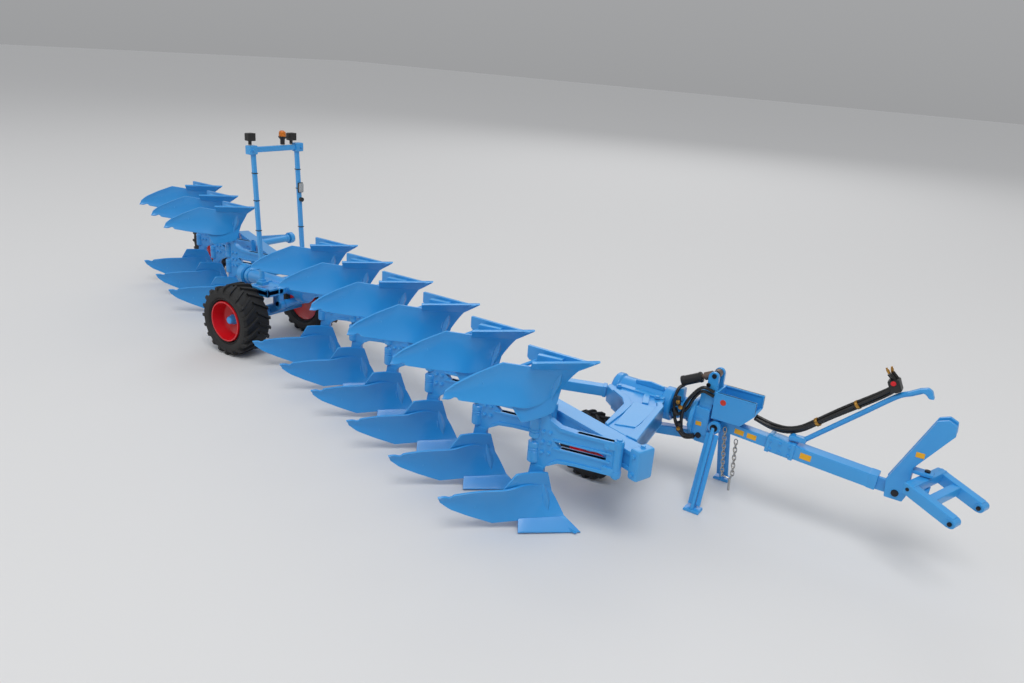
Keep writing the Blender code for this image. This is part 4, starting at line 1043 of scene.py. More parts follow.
# --- wheels -------------------------------------------------------------------------------------
@dataclass
class Wheel:
    """Lugged tyre with a dished centre."""

    name: str
    body: str
    centre: tuple
    radius: float
    width: float
    rim_radius: float
    dish: int                        # +1 where the dish opens to the left
    lugs: int = 20
    lug_height: float = 1.1

    def build(self, workshop: Workshop) -> None:
        """Deliver the tyre, the wheel centre and its hub."""
        axis = Vector((0, self.dish, 0))
        workshop.deliver(self._tyre(), f"{self.name}_lugged_tyre", TYRE_RUBBER, self.body,
                         [f"{self.name}_tyre"])
        workshop.deliver(self._centre(axis), f"{self.name}_dish", RED_ENAMEL, self.body,
                         [f"{self.name}_rim"])
        workshop.deliver(self._hub(axis), f"{self.name}_hub", BLUE_ENAMEL, self.body)

    def _tyre(self) -> Shape:
        """Turn the carcass and set the lugs around it."""
        shape = Shape()
        half, r, rim = self.width / 2, self.radius - self.lug_height, self.rim_radius
        one_side = [(rim, 0.80), (rim + 0.5, 0.90), (rim + 1.0, 0.86), (rim + 1.5, 0.94), (rim + (r - rim) * 0.5, 1.0),
                    (r * 0.93, 0.97), (r * 0.985, 0.84), (r, 0.5), (r, 0.0)]
        profile = [(radius, -half * share) for radius, share in one_side]
        profile += [(radius, half * share) for radius, share in reversed(one_side[:-1])]
        profile.append(profile[0])
        shape.lathe(profile, self.centre, (0, 1, 0), 72)
        for side in (1, -1):
            for lug in range(self.lugs):
                turn = (lug + (0.5 if side > 0 else 0.0)) * math.tau / self.lugs
                self._lug(shape, side, turn)
        return shape

    def _lug(self, shape: Shape, side: int, turn: float) -> None:
        """Add one slanting lug from the shoulder to the middle of the tread."""
        half, pitch = self.width / 2, math.tau / self.lugs
        # Stations along the lug: place across the tread, turn ahead, height of its top, half its length around.
        stations = ((1.0, 0.0, -1.6, 0.9), (0.93, 0.02, -0.35, 0.9), (0.8, 0.10, 0.0, 0.8), (0.45, 0.42, 0.0, 0.7),
                    (0.02, 0.80, 0.0, 0.62))
        solid = bmesh.new()
        rings = []
        for across, ahead, rise, breadth in stations:
            angle = turn + ahead * pitch
            top, foot = self.radius + rise, self.radius - self.lug_height - (2.2 if across > 0.9 else 0.5)
            ring = []
            for radius, wide in ((foot, 1.25), (top, 0.85)):
                for way in ((-1, 1) if radius == foot else (1, -1)):
                    spread = angle + way * breadth * wide / self.radius
                    ring.append(solid.verts.new((radius * math.cos(spread), side * half * across,
                                                 radius * math.sin(spread))))
            rings.append(ring)
        for a, b in zip(rings, rings[1:]):
            for step in range(4):
                near = (step + 1) % 4
                solid.faces.new((a[step], a[near], b[near], b[step]))
        solid.faces.new(rings[0])
        solid.faces.new(rings[-1][::-1])
        bmesh.ops.translate(solid, verts=solid.verts, vec=self.centre)
        shape.take(solid, 0.12, 1)

    def _centre(self, axis: Vector) -> Shape:
        """Turn the pressed wheel centre with its deep dish."""
        half, r = self.width / 2, self.rim_radius - 0.3
        shape = Shape()
        profile = [(0, -half * 0.5), (r * 0.45, -half * 0.5), (r - 0.8, -half * 0.68), (r, -half * 0.76), (r, half * 0.80),
                   (r - 0.25, half * 0.92), (r - 0.9, half * 0.92), (r - 1.1, half * 0.78), (r - 1.5, half * 0.3),
                   (r - 2.2, half * 0.12), (r * 0.62, half * 0.02), (r * 0.5, -half * 0.1), (r * 0.36, -half * 0.12),
                   (r * 0.34, half * 0.1), (0, half * 0.1)]
        shape.lathe(profile, self.centre, axis, 64)
        across, up = Vector((1, 0, 0)), UP
        for hole in range(8):
            angle = math.tau * (hole + 0.5) / 8
            place = Vector(self.centre) + (across * math.cos(angle) + up * math.sin(angle)) * r * 0.44
            shape.bolt(place - axis * half * 0.1, axis, 0.5)
        return shape

    def _hub(self, axis: Vector) -> Shape:
        """Turn the hub cap."""
        half = self.width / 2
        shape = Shape()
        shape.lathe([(0, half * 0.06), (2.6, half * 0.06), (2.6, half * 0.3), (2.2, half * 0.36), (1.9, half * 0.56),
                     (1.5, half * 0.62), (0, half * 0.62)], self.centre, axis, 32, bevel=0.08)
        return shape


# --- carriage -----------------------------------------------------------------------------------
@dataclass
class Carriage:
    """Bearing tube, gantry with its lamps, and the axle with its arms."""

    front: float = -197.35
    rear: float = -235.35
    gantry_x: float = -209.4
    gantry_width: float = 26.8
    post: float = 1.9
    lean: float = 3.8
    base_z: float = 34.4
    top_z: float = 99.9
    lamp_z: float = 102.35
    lamp_reach: float = 10.0
    beacon_reach: float = 4.6
    wheel_x: float = -216.0
    wheel_radius: float = 17.5
    inner_y: float = 17.0
    pivot_x: float = -203.0
    pivot_z: float = 24.0

    def build(self, workshop: Workshop) -> None:
        """Deliver the carriage's pieces."""
        workshop.deliver(self._frame(), "carriage_bearing_tube", BLUE_ENAMEL, "carriage",
                         ["carriage_frame"])
        workshop.deliver(self._gantry(), "gantry_frame", BLUE_ENAMEL, "carriage", ["gantry"])
        self._gantry_trim(workshop)
        self._lamps(workshop)
        workshop.deliver(self._axle(), "wheel_axle", BLUE_ENAMEL, "carriage_axle", ["carriage_axle"])
        trim = Shape()
        for side in (1, -1):
            trim.bolt((self.pivot_x, AXIS_Y + side * 6.0, self.pivot_z), (0, side, 0), 1.7)
        workshop.deliver(trim, "lift_pin_heads", NICKEL, "carriage_axle")

    def _frame(self) -> Shape:
        """Add the bearing tube, the cross plate and the lift ears."""
        shape = Shape()
        long = self.front - self.rear
        shape.lathe([(0, 0), (4.1, 0), (4.2, 0.1), (4.2, 2.0), (3.7, 2.4), (3.7, long - 2.4), (4.2, long - 2.0),
                     (4.2, long - 0.1), (4.1, long), (0, long)], (self.rear, AXIS_Y, AXIS_Z), (1, 0, 0), 40)
        shape.box((14.0, 33.0, 2.8), (self.gantry_x, AXIS_Y, AXIS_Z), bevel=0.4)
        for side in (1, -1):
            shape.box((14.0, 1.6, 4.0), (self.gantry_x, AXIS_Y + side * 15.7, AXIS_Z), bevel=0.3)
            shape.box((1.6, 33.0, 4.0), (self.gantry_x + side * 6.2, AXIS_Y, AXIS_Z), bevel=0.3)
            shape.box((5.0, 3.0, 10.0), (self.pivot_x - 1.5, AXIS_Y + side * 8.0, self.pivot_z + 4.0), bevel=0.5)
            shape.rod((self.pivot_x, AXIS_Y + side * 6.5, self.pivot_z), (self.pivot_x, AXIS_Y + side * 9.5, self.pivot_z),
                      2.4, sides=20, bevel=0.3)
            for x in (-4.4, 4.4):
                shape.bolt((self.gantry_x + x, AXIS_Y + side * 9.0, AXIS_Z + 1.35), UP, 1.3)
        shape.box((8.0, 19.0, 3.0), (self.pivot_x - 3.0, AXIS_Y, AXIS_Z), bevel=0.4)
        return shape

    def post_point(self, side: int, z: float) -> Vector:
        """Point of a leaned post's middle line at a height."""
        share = (z - self.base_z) / (self.top_z - self.base_z)
        return Vector((self.gantry_x - self.lean * share, AXIS_Y + side * self.gantry_width / 2, z))

    def _gantry(self) -> Shape:
        """Add the posts, feet, top bar and end blocks."""
        shape = Shape()
        half, top_x = self.gantry_width / 2, self.gantry_x - self.lean
        shape.box((self.post, self.gantry_width + 6.0, 2.6), (top_x, AXIS_Y, self.top_z), bevel=0.35)
        for side in (1, -1):
            y = AXIS_Y + side * half
            shape.bar(self.post_point(side, self.base_z), self.post_point(side, self.top_z), self.post, self.post,
                      bevel=0.3)
            shape.box((4.6, 4.4, 1.8), (self.gantry_x, y, self.base_z + 0.9), bevel=0.3)
            shape.box((3.6, 4.6, 4.2), (top_x, AXIS_Y + side * (half + 0.8), self.top_z), bevel=0.4)
            shape.box((2.8, 2.8, 1.4), (self.gantry_x - 0.1, y, self.base_z + 2.2), bevel=0.3)
            for x in (1.5, -1.5):
                shape.bolt((self.gantry_x + x, y + side * 1.5, self.base_z + 1.7), UP, 0.8)
            shape.bolt((top_x + 1.7, AXIS_Y + side * (half + 1.4), self.top_z), (1, 0, 0), 1.2)
        return shape

    def _gantry_trim(self, workshop: Workshop) -> None:
        """Add the thin dark bands, the clear lamp and the knob on the posts."""
        bands = Shape()
        for side, heights in ((-1, (44.0, 47.0, 61.5, 76.0, 89.0)), (1, (46.0, 60.0, 79.5, 89.0))):
            for z in heights:
                bands.box((self.post + 0.4, self.post + 0.4, 0.4), self.post_point(side, z), bevel=0.08)
        knob = self.post_point(1, 74.0)
        bands.rod(knob + Vector((0.6, 0, 0)), knob + Vector((2.4, 0, 0)), 1.1, sides=22, bevel=0.25)
        lamp_at = self.post_point(1, 80.0)
        bands.box((0.8, 3.0, 5.0), lamp_at + Vector((1.2, 0, 0)), bevel=0.15)
        workshop.deliver(bands, "gantry_bands", BLACK_ABS, "carriage")
        lamp = Shape()
        lamp.box((1.0, 2.6, 4.4), lamp_at + Vector((1.8, 0, 0)), bevel=0.35)
        workshop.deliver(lamp, "gantry_clear_lamp", CLEAR_LENS, "carriage")

    def _lamps(self, workshop: Workshop) -> None:
        """Add the two box lamps and the beacon."""
        x = self.gantry_x - self.lean
        right = -self.gantry_width / 2 - 1.6
        for label, reach, foot_z in (("right", right, self.lamp_z), ("left", self.lamp_reach, self.lamp_z - 0.8)):
            y = AXIS_Y + reach
            lamp = Shape()
            lamp.rod((x, y, foot_z), (x, y, foot_z + 3.0), 0.8, sides=16)
            lamp.box((3.0, 4.0, 3.6), (x, y, foot_z + 3.6), bevel=0.45)
            lamp.box((0.5, 4.2, 3.6), (x + 1.45, y, foot_z + 3.6), bevel=0.15)
            for level in (-1.0, 0.0, 1.0):
                lamp.box((0.4, 3.2, 0.4), (x - 1.5, y, foot_z + 3.6 + level), bevel=0.1)
            workshop.deliver(lamp, f"box_lamp_{label}", BLACK_ABS, "carriage", [f"gantry_lamp_{label}"])
        centre = (x, AXIS_Y + self.beacon_reach, self.lamp_z - 0.8)
        funnel = Shape()
        funnel.lathe([(0, 0), (1.0, 0), (1.1, 0.15), (1.1, 2.2), (1.2, 2.5), (1.95, 3.4), (2.0, 3.5), (2.0, 3.9), (0, 3.9)],
                     centre, UP, 32)
        workshop.deliver(funnel, "beacon_funnel", BLACK_ABS, "carriage", ["beacon"])
        lens = Shape()
        lens.lathe([(0, 3.8), (1.65, 3.8), (1.7, 4.0), (1.65, 5.7), (1.5, 6.1), (1.1, 6.5), (0.5, 6.72), (0, 6.75)],
                   centre, UP, 32)
        for turn in range(12):
            angle = math.tau * turn / 12
            out = Vector((math.cos(angle), math.sin(angle), 0))
            lens.rod(Vector(centre) + out * 1.6 + UP * 4.0, Vector(centre) + out * 1.55 + UP * 5.8, 0.13, sides=8,
                     bevel=0.0)
        workshop.deliver(lens, "beacon_lens", AMBER_LENS, "carriage")

    def _axle(self) -> Shape:
        """Add the axle beam with its arms, stubs and gussets."""
        shape = Shape()
        centre = Vector((self.wheel_x, AXIS_Y, self.wheel_radius))
        reach = self.inner_y - 1.2
        shape.bar(centre - Vector((0, reach, 0)), centre + Vector((0, reach, 0)), 5.4, 4.4, bevel=0.5)
        shape.bar(centre - Vector((0, reach - 2, 0)), centre + Vector((0, reach - 2, 0)), 6.0, 3.0, bevel=0.4)
        for side in (1, -1):
            y = AXIS_Y + side * 4.8
            shape.bar((self.wheel_x, y, self.wheel_radius), (self.pivot_x, y, self.pivot_z), 2.6, 4.4, bevel=0.4)
            shape.rod((self.pivot_x, y - 1.3, self.pivot_z), (self.pivot_x, y + 1.3, self.pivot_z), 2.2, sides=24, bevel=0.3)
            shape.rod((self.wheel_x, AXIS_Y + side * (reach - 1), self.wheel_radius),
                      (self.wheel_x, AXIS_Y + side * (reach + 4.2), self.wheel_radius), 1.6, sides=20, bevel=0.15)
            shape.rod((self.wheel_x, AXIS_Y + side * (reach - 1.6), self.wheel_radius),
                      (self.wheel_x, AXIS_Y + side * reach, self.wheel_radius), 2.5, sides=24, bevel=0.3)
        shape.rod((self.pivot_x, AXIS_Y - 6.1, self.pivot_z), (self.pivot_x, AXIS_Y + 6.1, self.pivot_z), 1.9, sides=24)
        return shape


# --- headstock, drawbar and hitch ---------------------------------------------------------------
def drawbar_point(x: float) -> Vector:
    """Point of the drawbar's middle line, which slopes down to the hitch."""
    return Vector((x, AXIS_Y, 29.25 + (x - 34.0) * math.tan(math.radians(-3.3))))


@dataclass
class Headstock:
    """Turnover head with its flange, ears, cylinder, tray and support arm."""

    flange_x: float = 16.0
    eye: tuple = (21.2, 56.0, 48.2)
    base: tuple = (9.0, 53.6, 42.4)

    def build(self, workshop: Workshop) -> None:
        """Deliver the headstock's pieces."""
        workshop.deliver(self._casting(), "headstock_casting", BLUE_ENAMEL, "front_end", ["headstock"])
        self._cylinder(workshop)
        self._tray(workshop)
        self._fittings(workshop)

    def _casting(self) -> Shape:
        """Add the pivot tube, the flange, the block, the ears and the support wheel's arm."""
        shape = Shape()
        x = self.flange_x
        axis = Vector((0, AXIS_Y, AXIS_Z))
        shape.lathe([(0, 7.35), (4.4, 7.35), (4.6, 7.6), (4.6, 9.4), (4.1, 9.8), (4.1, 12.6), (4.6, 13.0), (4.6, 19.8),
                     (4.4, 20.0), (0, 20.0)], axis, (1, 0, 0), 40)
        shape.lathe([(0, x - 1.0), (6.9, x - 1.0), (7.2, x - 0.7), (7.2, x + 0.3), (6.9, x + 0.6), (0, x + 0.6)],
                    axis - UP * 1.6, (1, 0, 0), 48)
        for turn in range(8):
            angle = math.radians(45 * turn + 20)
            shape.bolt((x - 0.9, AXIS_Y + 5.9 * math.cos(angle), AXIS_Z - 1.6 + 5.9 * math.sin(angle)), (-1, 0, 0), 1.0)
        shape.box((6.0, 9.0, 11.0), (x + 3.0, AXIS_Y, AXIS_Z - 1.6), bevel=0.6)
        shape.box((5.0, 7.1, 8.0), (x + 3.6, AXIS_Y, 38.0), bevel=0.5)
        ear = [(-1.9, -7.0), (1.9, -7.0), (1.9, 3.6), *arc((0, 3.4), 1.9, 0, 180, 10), (-1.9, 3.6)]
        for side in (1, -1):
            shape.plate(ear, 1.4, (x + 5.0, AXIS_Y + side * 3.0, 44.3), (1, 0, 0), UP, bevel=0.25)
            shape.bar((x + 2.6, AXIS_Y + side * 2.4, 41.0), (x + 4.6, AXIS_Y + side * 2.4, 44.0), 1.0, 2.6, bevel=0.25)
        shape.box((5.6, 8.6, 5.0), (x + 4.0, AXIS_Y, 24.0), bevel=0.6)
        shape.box((2.2, 3.2, 4.8), (9.7, 54.0, 37.5), bevel=0.35)
        start, knee = Vector((x + 3.0, AXIS_Y, 23.0)), Vector((-5.5, AXIS_Y - 2.0, 20.0))
        shape.bar(start, knee, 4.0, 3.6, bevel=0.5)
        shape.bar((-2.5, AXIS_Y - 1.6, 20.3), (-17.5, AXIS_Y - 8.0, 13.0), 3.0, 4.6, bevel=0.5)
        shape.rod((-17.5, AXIS_Y - 7.0, 13.0), (-17.5, 38.5 + 2.6, 13.0), 1.6, sides=20)
        return shape

    def _cylinder(self, workshop: Workshop) -> None:
        """Add the turnover cylinder with its sleeve and its pins."""
        base, eye = Vector(self.base), Vector(self.eye)
        run = (eye - base).normalized()
        barrel = Shape()
        barrel.lathe([(1.2, 2.4), (1.2, 8.0), (1.7, 8.0), (2.0, 7.7), (2.0, 6.9), (1.85, 6.7), (1.85, 1.5), (2.0, 1.3),
                      (2.0, 0.3), (1.7, 0.0), (0.0, 0.0), (0.0, 2.4), (1.2, 2.4)], base, run, 32)
        workshop.deliver(barrel, "turnover_cylinder_barrel", BLACK_ABS, "front_end", ["turnover_barrel"])
        rod = Shape()
        rod.lathe([(0, 4.0), (0.9, 4.0), (0.9, 8.6), (1.45, 8.8), (1.5, 9.1), (1.5, 12.0), (1.2, 12.2), (0, 12.2)],
                  base, run, 28)
        rod.rod(eye - Vector((0, 1.4, 0)), eye + Vector((0, 1.4, 0)), 1.5, sides=24, bevel=0.2)
        workshop.deliver(rod, "turnover_cylinder_rod", SLEEVE_TIN, "front_end", ["turnover_rod"])
        pins = Shape()
        pins.rod((21.2, AXIS_Y - 4.1, 48.2), (21.2, AXIS_Y + 4.1, 48.2), 0.9, sides=20, bevel=0.2)
        pins.rod((19.6, AXIS_Y - 4.2, 44.4), (19.6, AXIS_Y - 3.4, 44.4), 0.8, sides=18, bevel=0.2)
        pins.rod((19.0, AXIS_Y - 5.0, 24.4), (19.0, AXIS_Y + 5.0, 24.4), 1.1, sides=20, bevel=0.25)
        workshop.deliver(pins, "headstock_pins", BLACK_STEEL, "front_end")

    def _tray(self, workshop: Workshop) -> None:
        """Add the folded tray with its red dot."""
        shape = Shape()
        outline = [(22.8, 43.0), (38.0, 43.0), (38.0, 38.0), (33.6, 33.0), (22.8, 32.6)]
        for side in (1, -1):
            shape.plate(outline, 0.9, (0, AXIS_Y + side * 4.6, 0), (1, 0, 0), UP, bevel=0.2)
            rim = [(23.4, 42.2), (23.4, 43.0), (38.0, 43.0), (38.0, 38.6), (37.3, 38.6), (37.3, 42.2)]
            shape.plate(rim, 1.2, (0, AXIS_Y + side * 4.5, 0), (1, 0, 0), UP, bevel=0.25)
        shape.box((10.6, 10.0, 0.9), (28.3, AXIS_Y, 33.1), bevel=0.2)
        shape.box((0.9, 10.0, 10.0), (23.35, AXIS_Y, 37.9), bevel=0.2)
        shape.bar((33.4, AXIS_Y, 33.2), (37.7, AXIS_Y, 38.1), 10.0, 0.9, bevel=0.2)
        workshop.deliver(shape, "hose_tray_folded", BLUE_ENAMEL, "front_end", ["hose_tray"])
        dot = Shape()
        dot.lathe([(0, 0), (1.05, 0), (1.1, 0.08), (1.0, 0.16), (0, 0.18)], (26.3, AXIS_Y - 5.0, 39.8), (0, -1, 0), 28)
        workshop.deliver(dot, "tray_red_dot", RED_VINYL, "front_end")

    @staticmethod
    def _fittings(workshop: Workshop) -> None:
        """Add the short hoses that curl from the cylinder round the flange, with their unions.

        Args:
            workshop: takes the pieces.
        """
        routes = (((22.2, 51.6, 42.6), (18.5, 49.9, 43.8), (15.2, 49.1, 40.0), (13.0, 48.7, 34.8), (12.8, 48.8, 28.6),
                   (14.0, 49.4, 24.2), (17.6, 52.0, 23.4)),
                  ((22.2, 52.0, 40.8), (18.3, 50.6, 42.0), (15.6, 50.0, 38.4), (14.1, 49.9, 34.6), (11.4, 49.0, 31.4),
                   (9.6, 49.0, 31.8)),
                  ((10.4, 53.2, 41.6), (9.2, 50.8, 40.2), (9.0, 48.9, 36.0), (9.8, 48.6, 31.0), (11.4, 48.8, 26.8),
                   (14.0, 50.4, 22.6), (17.6, 52.4, 22.8)))
        hoses = Shape()
        for route in routes:
            hoses.tube(smooth_route(route, 8), 0.62, 12)
        workshop.deliver(hoses, "cylinder_hoses", HOSE_PVC, "front_end")
        unions = Shape()
        for foot, end in (((10.2, 48.8, 38.2), (10.6, 48.6, 34.8)), ((12.2, 48.6, 28.6), (12.5, 48.8, 25.0)),
                          ((8.9, 49.6, 33.0), (10.6, 49.0, 30.4))):
            unions.rod(foot, end, 1.15, sides=20, bevel=0.2)
        workshop.deliver(unions, "cylinder_unions", BLACK_ABS, "front_end")
        brass = Shape()
        for foot, way in (((10.8, 48.0, 36.4), (0.2, -0.9, 0.3)), ((12.4, 47.9, 26.4), (0.2, -0.9, -0.2)),
                          ((11.9, 48.0, 34.6), (0.5, -0.8, 0.1))):
            foot, way = Vector(foot), Vector(way).normalized()
            brass.rod(foot - way * 1.0, foot + way * 0.5, 0.85, sides=6, bevel=0.1)
            brass.rod(foot, foot + way * 1.0, 0.5, sides=14, bevel=0.08)
        workshop.deliver(brass, "cylinder_brass_unions", BRASS, "front_end")


@dataclass
class Drawbar:
    """Drawbar with its labels, chains, hose arm and hoses."""

    collar_x: float = 43.0
    collar_length: float = 10.0
    hitch_x: float = 86.5
    hitch_z: float = 25.2

    def build(self, workshop: Workshop) -> None:
        """Deliver the drawbar's pieces."""
        workshop.deliver(self._bar(), "drawbar_beam", BLUE_ENAMEL, "front_end", ["drawbar"])
        workshop.deliver(self._labels(), "blank_labels", YELLOW_VINYL, "front_end")
        workshop.deliver(self._arm(), "hose_arm_bent", BLUE_ENAMEL, "front_end", ["hose_arm"])
        self._hoses(workshop)
        workshop.deliver(self._chains(), "stand_chains", NICKEL, "front_end")

    def _bar(self) -> Shape:
        """Add the bar, its collar and its tongue."""
        shape = Shape()
        x, end = self.collar_x, self.collar_x + self.collar_length
        shape.bar(drawbar_point(22.6), drawbar_point(x + 1), 4.2, bevel=0.35)
        shape.bar(drawbar_point(x), drawbar_point(end), 5.8, bevel=0.4)
        for start in (x, end - 1.6):
            shape.bar(drawbar_point(start), drawbar_point(start + 1.6), 6.2, bevel=0.3)
        shape.bar(drawbar_point(end - 1), drawbar_point(self.hitch_x - 6.0), 5.2, bevel=0.4)
        shape.bar(drawbar_point(self.hitch_x - 9.0), drawbar_point(self.hitch_x - 6.0), 5.4, bevel=0.35)
        shape.rod((24.9, AXIS_Y - 4.4, 29.8), (24.9, AXIS_Y + 4.4, 29.8), 1.4, sides=24, bevel=0.2)
        shape.box((8.0, 1.6, 4.6), (self.hitch_x - 3.5, AXIS_Y, self.hitch_z + 0.6), bevel=0.3)
        shape.rod((self.hitch_x, AXIS_Y - 0.8, self.hitch_z), (self.hitch_x, AXIS_Y + 0.8, self.hitch_z), 2.6, sides=28)
        for place in (44.6, 48.0, 51.4):
            for level in (1.6, -1.6):
                foot = drawbar_point(place) + Vector((0, -2.85, level))
                shape.bolt(foot, (0, -1, 0), 1.0)
        return shape

    def _labels(self) -> Shape:
        """Add the blank yellow labels."""
        shape = Shape()
        way = (drawbar_point(40) - drawbar_point(30)).normalized()
        up = Vector((0, -1, 0)).cross(way)
        for x, across, high, half in ((33.0, 3.4, 1.9, 2.1), (37.6, 3.4, 1.9, 2.1), (57.0, 3.8, 2.2, 2.6)):
            origin = drawbar_point(x) - Vector((0, half + 0.03, 0))
            shape.plate([(-across / 2, -high / 2), (across / 2, -high / 2), (across / 2, high / 2), (-across / 2, high / 2)],
                        0.12, origin, way, up, bevel=0.03)
        shape.plate([(-1.1, -0.8), (1.1, -0.8), (1.1, 0.8), (-1.1, 0.8)], 0.12, (18.4, AXIS_Y - 4.53, 29.0), (1, 0, 0), UP,
                    bevel=0.03)
        return shape

    def _arm(self) -> Shape:
        """Add the bent rod that holds the hoses, with its flattened hook."""
        shape = Shape()
        foot = Vector((52.0, AXIS_Y, drawbar_point(52.0).z + 3.1 + 0.35 + 0.9))
        knee = Vector((55.0, AXIS_Y, foot.z + 0.4))
        shape.bar(foot - Vector((2.0, 0, 0)), knee + Vector((0.8, 0, 0)), 3.0, 1.8, bevel=0.35)
        shape.bolt(foot + Vector((-0.6, 0, 0.8)), UP, 1.3)
        route = [knee, knee.lerp(Vector((80.0, AXIS_Y, 57.0)), 0.33), knee.lerp(Vector((80.0, AXIS_Y, 57.0)), 0.66),
                 Vector((80.0, AXIS_Y, 57.0)), Vector((84.0, AXIS_Y, 59.3)), Vector((87.0, AXIS_Y, 61.1))]
        shape.tube(smooth_route(route, 6), 0.9, 16)
        hook = [(-4.6, -2.1), (-1.0, 0.2), (1.2, 1.0), (2.6, 0.2), (3.6, -2.2), (2.0, -2.4), (1.0, -1.2), (-0.4, -1.0),
                (-3.8, -3.0)]
        shape.plate([(a, b) for a, b in hook], 2.2, (87.0, AXIS_Y, 61.4), (1, 0, 0), UP, bevel=0.4)
        return shape

    def _hoses(self, workshop: Workshop) -> None:
        """Add the strands of the bundle, their clamps and their ends."""
        route = [(36.8, 57.2, 35.4), (40.5, 57.2, 34.4), (44.0, 57.2, 33.9), (48.5, 57.2, 34.3), (53.0, 57.0, 36.4),
                 (57.5, 56.8, 40.2), (63.0, 56.4, 45.3), (69.0, 56.2, 50.6), (75.0, 56.0, 55.9), (78.4, 56.0, 59.4),
                 (78.6, 56.0, 62.0), (76.6, 56.0, 64.2)]
        middle = smooth_route(route, 6)
        hoses = Shape()
        strands = ((0.0, 0.0, 0.0), (0.78, 0.0, 0.1), (-0.78, 0.1, 0.0), (0.1, 0.76, 0.0), (0.0, -0.76, 0.1))
        for number, (out, rise, _) in enumerate(strands):
            line = []
            for at, place in enumerate(middle):
                run = (middle[min(at + 1, len(middle) - 1)] - middle[max(at - 1, 0)]).normalized()
                normal = run.cross(Vector((0, 1, 0))).normalized()
                turn = 0.35 * math.sin(at * 0.21 + number * 1.9)
                line.append(place + Vector((0, 1, 0)) * (out + turn * 0.22) + normal * (rise + turn * 0.25))
            hoses.tube(line, 0.56, 12)
        workshop.deliver(hoses, "hydraulic_hoses", HOSE_PVC, "front_end", ["hose_bundle"])
        brass = Shape()
        for place, nxt in (((57.4, 56.8, 40.1), (58.3, 56.75, 40.9)), ((68.7, 56.2, 50.3), (69.5, 56.2, 51.05))):
            place, nxt = Vector(place), Vector(nxt)
            brass.rod(place, nxt, 1.55, sides=24, bevel=0.12)
        for foot, way in (((76.2, 55.6, 64.0), (-0.6, 0, 0.8)), ((76.9, 56.8, 64.2), (-0.3, 0, 0.95))):
            foot, way = Vector(foot), Vector(way).normalized()
            brass.rod(foot, foot + way * 1.5, 0.5, sides=6, bevel=0.1)
            brass.rod(foot + way * 1.3, foot + way * 2.1, 0.3, sides=12, bevel=0.06)
        workshop.deliver(brass, "hose_brass_clamps", BRASS, "front_end")
        block = Shape()
        block.box((3.6, 4.2, 4.4), (78.7, 56.0, 60.6), pitch=-25.0, bevel=0.6)
        block.rod((79.2, 54.2, 60.0), (79.2, 57.8, 60.0), 1.6, sides=22, bevel=0.3)
        workshop.deliver(block, "hose_end_block", BLACK_ABS, "front_end")
        cap = Shape()
        cap.rod((78.4, 54.4, 61.4), (78.2, 53.2, 61.8), 0.8, sides=20, bevel=0.15)
        workshop.deliver(cap, "hose_red_cap", RED_ENAMEL, "front_end")

    def _chains(self) -> Shape:
        """Add the two chains that hang ahead of the near leg, and the pin between them."""
        shape = Shape()
        for top, low, links in (((28.0, 52.9, 29.8), (29.9, 52.6, 11.2), 12), ((32.7, 53.0, 26.4), (33.6, 52.6, 12.6), 9)):
            top, low = Vector(top), Vector(low)
            step = (low - top) / links
            for link in range(links):
                centre = top + step * (link + 0.5)
                self._link(shape, centre, step.normalized(), step.length * 0.74, link % 2)
        shape.rod((29.9, 52.6, 11.4), (33.0, 52.6, 10.9), 0.3, sides=12, bevel=0.08)
        shape.rod((33.6, 52.6, 12.8), (33.0, 52.6, 10.6), 0.3, sides=12, bevel=0.08)
        shape.rod((32.9, 52.6, 11.2), (33.2, 52.6, 6.2), 0.45, sides=14, bevel=0.1)
        return shape

    @staticmethod
    def _link(shape: Shape, centre: Vector, way: Vector, half: float, turned: int) -> None:
        """Add one oval chain link, turned flat or on edge."""
        side = Vector((0, 1, 0)) if turned else Vector((1, 0, 0))
        loop = []
        for step in range(16):
            angle = math.tau * step / 16
            loop.append(centre + way * half * math.cos(angle) + side * 0.62 * math.sin(angle))
        shape.tube(loop, 0.2, 8, closed=True)


@dataclass
class Stand:
    """Parking stand: two splayed legs with feet, on the ends of the drawbar's pin."""

    x: float = 24.9
    hip_z: float = 29.8
    hip_reach: float = 5.55
    spread: float = 15.3

    def build(self, workshop: Workshop) -> None:
        """Deliver the legs and the pin's heads."""
        pins = Shape()
        for label, side in (("right", -1), ("left", 1)):
            shape = Shape()
            hip = Vector((self.x, AXIS_Y + side * self.hip_reach, self.hip_z))
            foot = Vector((self.x + 0.1, AXIS_Y + side * self.spread, 0.6))
            half = Vector((0, 0.8, 0))
            shape.rod(hip - half, hip + half, 2.3, sides=30, bevel=0.2)
            shape.bar(hip, foot, 1.2, 3.9, bevel=0.25)
            for edge in (1.5, -1.5):
                along_leg = Vector((edge, 0, 0))
                shape.bar(hip.lerp(foot, 0.08) + along_leg, hip.lerp(foot, 0.95) + along_leg, 1.6, 0.8, bevel=0.2)
            shape.box((5.6, 4.4, 1.0), foot + Vector((0, 0, 0.1)), bevel=0.25)
            shape.box((6.0, 4.6, 0.8), foot - Vector((0, 0, 0.2)), bevel=0.2)
            workshop.deliver(shape, f"stand_leg_{label}", BLUE_ENAMEL, "parking_stand",
                             [f"parking_stand_leg_{label}"])
            pins.bolt(hip + half * side, (0, side, 0), 1.9)
        workshop.deliver(pins, "stand_pin_heads", BLACK_STEEL, "parking_stand")


